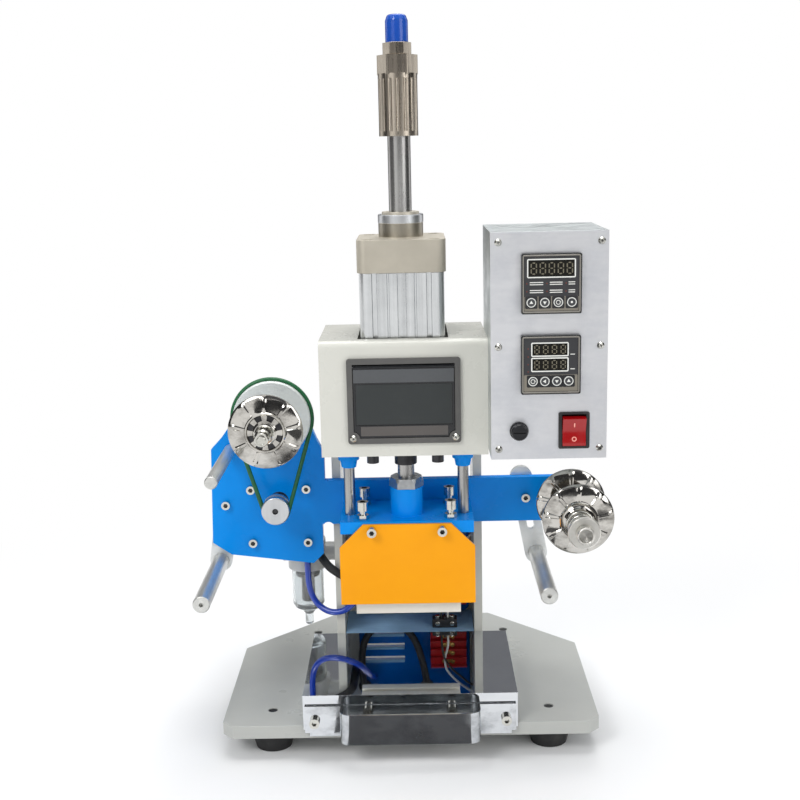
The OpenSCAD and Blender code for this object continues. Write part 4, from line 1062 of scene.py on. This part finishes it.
DARK_WIRE = [
    (31, 64, 68), (31, 64, 80), (33, 66, 94), (40, 72, 109),
    (50, 80, 122), (57, 86, 131), (62.3, 90, 136),
]
PALE_WIRE = [
    (37, 64, 68), (37, 64.5, 82), (34, 68, 97), (36, 76, 113),
    (46, 83, 128), (56, 89, 139), (62.3, 92, 144),
]
BAY_LEAD = [
    (-47, 97, 138), (-47, 91, 137.6), (-47.2, 86, 135), (-47.5, 82.3, 130.5), (-48, 80.5, 124),
    (-48.5, 80.3, 116), (-48.8, 81.2, 106.5), (-48.3, 83.2, 96), (-46, 86, 86), (-40.5, 88.5, 77),
    (-31.5, 90, 71.6), (-20, 90.5, 70), (-8.5, 90, 72.6), (0.5, 88, 79.5), (6.5, 85.5, 90),
    (10.5, 83, 102), (13.2, 81, 113), (14.8, 80.5, 122.5), (15.6, 82.3, 130.3), (15.9, 86, 135),
    (16, 91, 137.6), (16, 97, 138),
]
laid("heater_wire_1", DARK_WIRE, 1.1, 12, "rubber_black")
laid("heater_wire_2", PALE_WIRE, 1.1, 12, "filter_white")
laid("bay_lead", BAY_LEAD, 3.5, 20, "rubber_black")
GROMMET = [(3.6, 94.4), (5.8, 94.4), (6.6, 95.2), (6.6, 96.2), (3.6, 96.2), (3.6, 94.4)]
ends = (BAY_LEAD[0], BAY_LEAD[-1])
grommets = [turned(GROMMET, (end[0], 0, end[2]), "Y", 32, ring=True) for end in ends]
place(grommets, "bay_lead_grommets", "rubber_black")

# Screws that the solids leave plain


def socket_screw(radius, height, flats, at, axis):
    """A cylinder-head screw with a hexagon socket, standing up its axis."""
    head = turned([(radius, 0), (radius, height - 0.5), (radius - 0.5, height)], at, axis, 36)
    corner = flats / math.sqrt(3)
    socket = turned([(corner, height * 0.45), (corner, height + 1)], at, axis, 6)
    return cut_by(head, [socket])


CAP_TOP = 444.5
TIE = 28.25
CORNERS = [(sx, sy) for sx in (-1, 1) for sy in (-1, 1)]
ties = [socket_screw(4.7, 6.4, 4, (sx * TIE, sy * TIE, CAP_TOP - 7), "Z") for sx, sy in CORNERS]
place(ties, "tie_screws", "bright_zinc")

CROSS_LONG, CROSS_SHORT = 1.35, 0.3
PANEL_SCREWS = [(x, -88.7, z) for x in (77.2, 159.2) for z in (276.1, 360.8, 444.5)]
HEAD_SCREWS = [(x, -55.2, 279.2) for x in (-43.3, 43.3)]
CROSS_TURNS = [37 * i + 12 for i in range(6)] + [25, 75]


def cross(at, turn):
    """The crossed slot of a pan head that faces the front, as a thin dark cross: painted shade in place of
    the recess.
    """
    x, y, z = at
    halves = ((CROSS_LONG, CROSS_SHORT), (CROSS_SHORT, CROSS_LONG))
    bars = [bar(x, z, half_x, half_z, y - 0.06, y + 0.1) for half_x, half_z in halves]
    return swung(joined(bars), turn, at, "Y")


crosses = [cross(at, turn) for at, turn in zip(PANEL_SCREWS + HEAD_SCREWS, CROSS_TURNS)]
place(crosses, "pan_screw_slot_shade", "dark_steel", 0)

# Flap: face band, recessed pad and finger strip

FLAP_PRINT = (-53.14, -52.98)
FLAP_FLOOR = (-52.5, -52.15)
for name, half, z0, z1, layer, corner, edge, look in (
    ("flap_band", 42.2, 327.0, 338.2, FLAP_PRINT, 0.4, 0.0, "flap_grey"),
    ("flap_pad", 40.7, 290.9, 325.3, FLAP_FLOOR, 0.4, 0.12, "flap_pad"),
    ("flap_strip", 36.8, 281.2, 289.3, FLAP_PRINT, 0.6, 0.0, "flap_strip"),
):
    plate = rounded_plate(-half, half, z0, z1, *layer, corner, edge)
    place([plate], name, look, body="head_flap")

# Rod gland, and the light ring and darker band on the upper collar; the band's darker tone is painted dark
# reflection

GLAND_LIP = [(7.7, 243.2), (9.8, 243.2), (9.98, 243.5)]
GLAND_WALL = [(9.98, 262), (9.76, 262), (9.76, 243.46), (7.7, 243.46), (7.7, 243.2)]
COLLAR_SIDE = [(19.25, 456.5), (19.5, 456.8), (19.5, 463.0), (19.0, 463.75)]
COLLAR_TOP = [(16.2, 463.75), (16.2, 463.55), (19.22, 463.55), (19.25, 456.5)]
BAND_SIDE = [(19.05, 445), (19.22, 445.2), (19.22, 456.3), (19.05, 456.5)]
BAND_INSIDE = [(18.8, 456.5), (18.8, 445), (19.05, 445)]
for name, profile, sides, slot, look in (
    ("rod_gland", GLAND_LIP + GLAND_WALL, 64, "dark_steel", "dark_steel"),
    ("collar_ring", COLLAR_SIDE + COLLAR_TOP, 72, "profile_alu", "drawn_alu"),
    ("collar_band", BAND_SIDE + BAND_INSIDE, 72, "profile_alu", "collar_alu_dark_reflection"),
):
    place([turned(profile, (0, 0, 0), "Z", sides, ring=True)], name, look)

# Pockets of the take-up wheel: a dark ring there as painted shade

dark_ring = washer(15.3, 10.6, -3.75, -3.55, TAKEUP_WHEEL, 64)
place([dark_ring], "takeup_wheel_pocket_shade", "dark_steel", body="takeup_reel")

# Motor: end-cap seam, air slots as painted shade, screws and cable nut

MOTOR_X, MOTOR_Z = -120, 183
MOTOR_MIDDLE = (MOTOR_X, 0, MOTOR_Z)
MOTOR_END = 150
MOTOR_BOLT = 25
CABLE_NUT = [(4.1, 152), (5.3, 152), (5.3, 150.6), (4.8, 148.6), (4.1, 148.6), (4.1, 152)]
seam = washer(29.15, 28.5, 136, 137, MOTOR_MIDDLE, 72)
# The air slots are thin black patches on the end cap: painted shade in place of open slots; the seam is a
# dark joint.
slot_low = (MOTOR_X - 1.4, MOTOR_END - 0.1, MOTOR_Z + 9)
slot_high = (MOTOR_X + 1.4, MOTOR_END + 0.12, MOTOR_Z + 18)
air_slots = ring_of(slab(slot_low, slot_high), 10, MOTOR_MIDDLE)
place([seam] + air_slots, "motor_seam_and_slot_shade", "rubber_black", 20)
motor_screws = []
for sx, sz in CORNERS:
    spot = (MOTOR_X + sx * MOTOR_BOLT, 82, MOTOR_Z + sz * MOTOR_BOLT)
    motor_screws.append(socket_screw(2.9, 2.6, 2.5, spot, "Y"))
place(motor_screws, "motor_screws", "bright_zinc")
cable_nut = turned(CABLE_NUT, (*CABLE[0][:2], 0), "Z", 32, ring=True)
place([cable_nut], "motor_cable_nut", "terminal_black")

# Filter: element and baffle seen through the bowl

ELEMENT = [(5.6, 84), (6.4, 84.8), (6.4, 108)]
BAFFLE = [(11.2, 110.5), (11.8, 112), (11.8, 113.4), (6.0, 114), (6.0, 118.6)]
element = turned(ELEMENT + BAFFLE, (-99.5, 80, 0), "Z", 48)
place([element], "filter_element", "element_grey")

# Weld beads between the columns and the base plate

BEAD_RADIUS = 1.7
BEAD_X, BEAD_Y = 71.0, 110.7


def bead_height(along):
    return 32.7 + 0.22 * math.sin(along * 2.1)


runs = [[(x, y, bead_height(y)) for y in range(52, 109)] for x in (-BEAD_X, BEAD_X)]
runs.append([(x, BEAD_Y, bead_height(x)) for x in range(-60, 61)])
beads = [tube(run, BEAD_RADIUS, 10) for run in runs]
place(beads, "weld_beads", "cream_paint", 60)

# Painted shade on the floors of the hexagon sockets


def socket_floor(x, y, z):
    """A thin dark hexagon at the bottom of a 4 mm socket that faces the front: painted shade."""
    corner = 4 / math.sqrt(3) - 0.06
    return turned([(corner, y - 0.35), (corner, y - 0.02)], (x, 0, z), "Y", 6)


PLATE_SOCKET = 39.6
PLATE_SPOTS = [(-146, 157), (-146, 209), (-94, 157), (-94, 209), (-170.02, 194.51), (110.8, 196.66)]
floors = [socket_floor(x, PLATE_SOCKET, z) for x, z in PLATE_SPOTS]
place(floors, "plate_screw_socket_shade", "dark_steel", 0)
guard_floors = [socket_floor(x, -33, 189.5) for x in (-31, 31)]
place(guard_floors, "guard_screw_socket_shade", "dark_steel", 0, "ram")

# A dark screw sunk in the pulley's centre hole; its dark colour is partly painted shade of the hole.
PULLEY_SCREW = [(2.5, 2.4), (2.5, 1.9), (2.1, 1.5), (0.1, 1.5)]
pulley_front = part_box("drive_pulley")[0][1] / MM
hub_screw = turned(PULLEY_SCREW, (TAKEUP_X, pulley_front, DRIVE_Z), "Y", 24)
place([hub_screw], "drive_pulley_screw_shade", "dark_steel", body="drive_wheel")

# Cartridge heaters in the hot plate

HEATER = [(3.2, -47.9), (3.9, -47.2), (3.9, 47.2), (3.2, 47.9)]
heaters = [turned(HEATER, (0, y, 130), "X", 32) for y in (-7, 23)]
place(heaters, "heater_rods", "satin_steel", body="ram")

# Grip ribs round the fuse cap

FUSE_X, FUSE_Z = 93.6, 291.5
rib = slab((FUSE_X - 0.35, -93.2, FUSE_Z + 6.6), (FUSE_X + 0.35, -89.2, FUSE_Z + 7.05), 0.1, 1)
ribs = ring_of(rib, 30, (FUSE_X, 0, FUSE_Z))
place(ribs, "fuse_cap_ribs", "gloss_black", body="fuse_holder_cap")

# Floor, light and camera, in metres


def seen_rays(tree):
    """1 for rays that the camera, a reflection or clear plastic sees."""
    rays = tree.nodes.new("ShaderNodeLightPath").outputs
    seen = maths(tree, "MAXIMUM", rays["Is Camera Ray"], rays["Is Glossy Ray"])
    return maths(tree, "MAXIMUM", seen, rays["Is Transmission Ray"])


def mixed_surface(tree, amount, first, second, output):
    mix = tree.nodes.new("ShaderNodeMixShader")
    tree.links.new(amount, mix.inputs[0])
    link(tree, first, 0, mix, 1)
    link(tree, second, 0, mix, 2)
    link(tree, mix, 0, tree.nodes[output], "Surface")


def matte(name, colour, rough, shine):
    """A plain material for the stage."""
    material = bpy.data.materials.new(name)
    material.use_nodes = True
    values = {"Base Color": colour, "Roughness": rough, "Specular IOR Level": shine}
    set_inputs(material.node_tree.nodes["Principled BSDF"], values)
    return material


def stage_floor():
    """A floor that takes shadows near the part and fades to white further out."""
    clear_selection()
    bpy.ops.mesh.primitive_plane_add(size=14, location=(0, 0, 0))
    floor = bpy.context.object
    floor.name = "studio_floor"
    material = matte("studio_floor", (0.86, 0.86, 0.86, 1), 0.7, 0.2)
    tree = material.node_tree
    glow = tree.nodes.new("ShaderNodeEmission")
    set_inputs(glow, {"Color": (1, 1, 1, 1)})
    where = tree.nodes.new("ShaderNodeTexCoord")
    reach = tree.nodes.new("ShaderNodeVectorMath")
    reach.operation = "LENGTH"
    link(tree, where, "Object", reach, 0)
    fade = ranged(tree, reach.outputs["Value"], 0.22, 0.75)
    amount = times(tree, fade, seen_rays(tree))
    mixed_surface(tree, amount, tree.nodes["Principled BSDF"], glow, "Material Output")
    floor.data.materials.append(material)
    floor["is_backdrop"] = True


def stage_card(name, width, height, at, aim, shade):
    """A plain studio card that metal reflects and the camera passes through."""
    clear_selection()
    bpy.ops.mesh.primitive_plane_add(size=1, location=at)
    card = bpy.context.object
    card.name = name
    card.scale = (width, height, 1)
    card.rotation_euler = (Vector(aim) - Vector(at)).to_track_quat("Z", "Y").to_euler()
    card.data.materials.append(matte(name, (shade, shade, shade * 1.05, 1), 0.9, 0.5))
    card.visible_camera = False
    card.visible_diffuse = False
    card.visible_shadow = False
    card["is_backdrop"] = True


def stage_light(name, at, aim, size, power):
    clear_selection()
    bpy.ops.object.light_add(type="AREA", location=at)
    lamp = bpy.context.object
    lamp.name = name
    lamp.data.shape = "DISK"
    lamp.data.size = size
    lamp.data.energy = power
    lamp.rotation_euler = (Vector(aim) - Vector(at)).to_track_quat("-Z", "Y").to_euler()


def stage_world():
    """A soft light from all round, seen as white."""
    world = bpy.data.worlds.new("studio")
    world.use_nodes = True
    bpy.context.scene.world = world
    tree = world.node_tree
    soft = tree.nodes["Background"]
    set_inputs(soft, {"Color": (0.93, 0.96, 1.0, 1), "Strength": 0.5})
    white = tree.nodes.new("ShaderNodeBackground")
    set_inputs(white, {"Color": (1, 1, 1, 1)})
    mixed_surface(tree, seen_rays(tree), soft, white, "World Output")


CAMERA_AT = (0.0096, -1.0392, 0.5223)
CAMERA_TURN = (12.041, -0.748, -1.285)
SENSOR, LENS = 36, 54


def stage_camera():
    """The photograph's view: pitch down, yaw and roll."""
    pitch, yaw, roll = (math.radians(a) for a in CAMERA_TURN)
    data = bpy.data.cameras.new("camera")
    data.sensor_width = SENSOR
    data.lens = LENS
    camera = bpy.data.objects.new("camera", data)
    bpy.context.scene.collection.objects.link(camera)
    aimed = Matrix.Rotation(-yaw, 4, "Z") @ Matrix.Rotation(math.pi / 2 - pitch, 4, "X")
    camera.matrix_world = Matrix.Translation(CAMERA_AT) @ aimed @ Matrix.Rotation(roll, 4, "Z")
    bpy.context.scene.camera = camera


stage_floor()
stage_world()
stage_camera()
stage_card("dark_card_left", 2.6, 2.2, (-2.4, -0.4, 1.15), (0, 0, 0.4), 0.03)
stage_card("dark_card_right", 2.6, 2.2, (2.4, -0.2, 1.15), (0, 0, 0.4), 0.015)
stage_card("dark_card_top", 3.2, 1.6, (0.0, -1.9, 2.2), (0, 0, 0.4), 0.12)
stage_card("dark_card_front", 1.3, 1.6, (2.1, -1.9, 0.9), (0, 0, 0.3), 0.02)
stage_card("dark_card_floor", 0.125, 0.3, (-0.006, -0.265, 0.012), (-0.006, -0.265, 1.0), 0.06)
stage_card("dark_card_back", 4.0, 1.5, (0.0, 1.9, 0.95), (0, 0, 0.5), 0.16)
stage_card("dark_card_high", 1.8, 0.7, (0.2, -1.75, 0.82), (0, 0, 0.3), 0.03)
stage_card("dark_card_floor_right", 0.75, 0.9, (0.55, -1.0, 0.012), (0.55, -1.0, 1.0), 0.03)
stage_light("key", (-1.2, -1.7, 1.9), (0, 0, 0.3), 1.0, 23)
stage_light("fill", (1.6, -1.5, 1.0), (0, 0, 0.3), 1.4, 12)
stage_light("overhead", (0.0, 0.15, 2.3), (0, 0.05, 0.2), 1.4, 26)
stage_light("back", (0.4, 1.8, 1.8), (0, 0, 0.35), 1.2, 12)

bpy.context.scene.view_settings.view_transform = "Standard"
low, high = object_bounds()
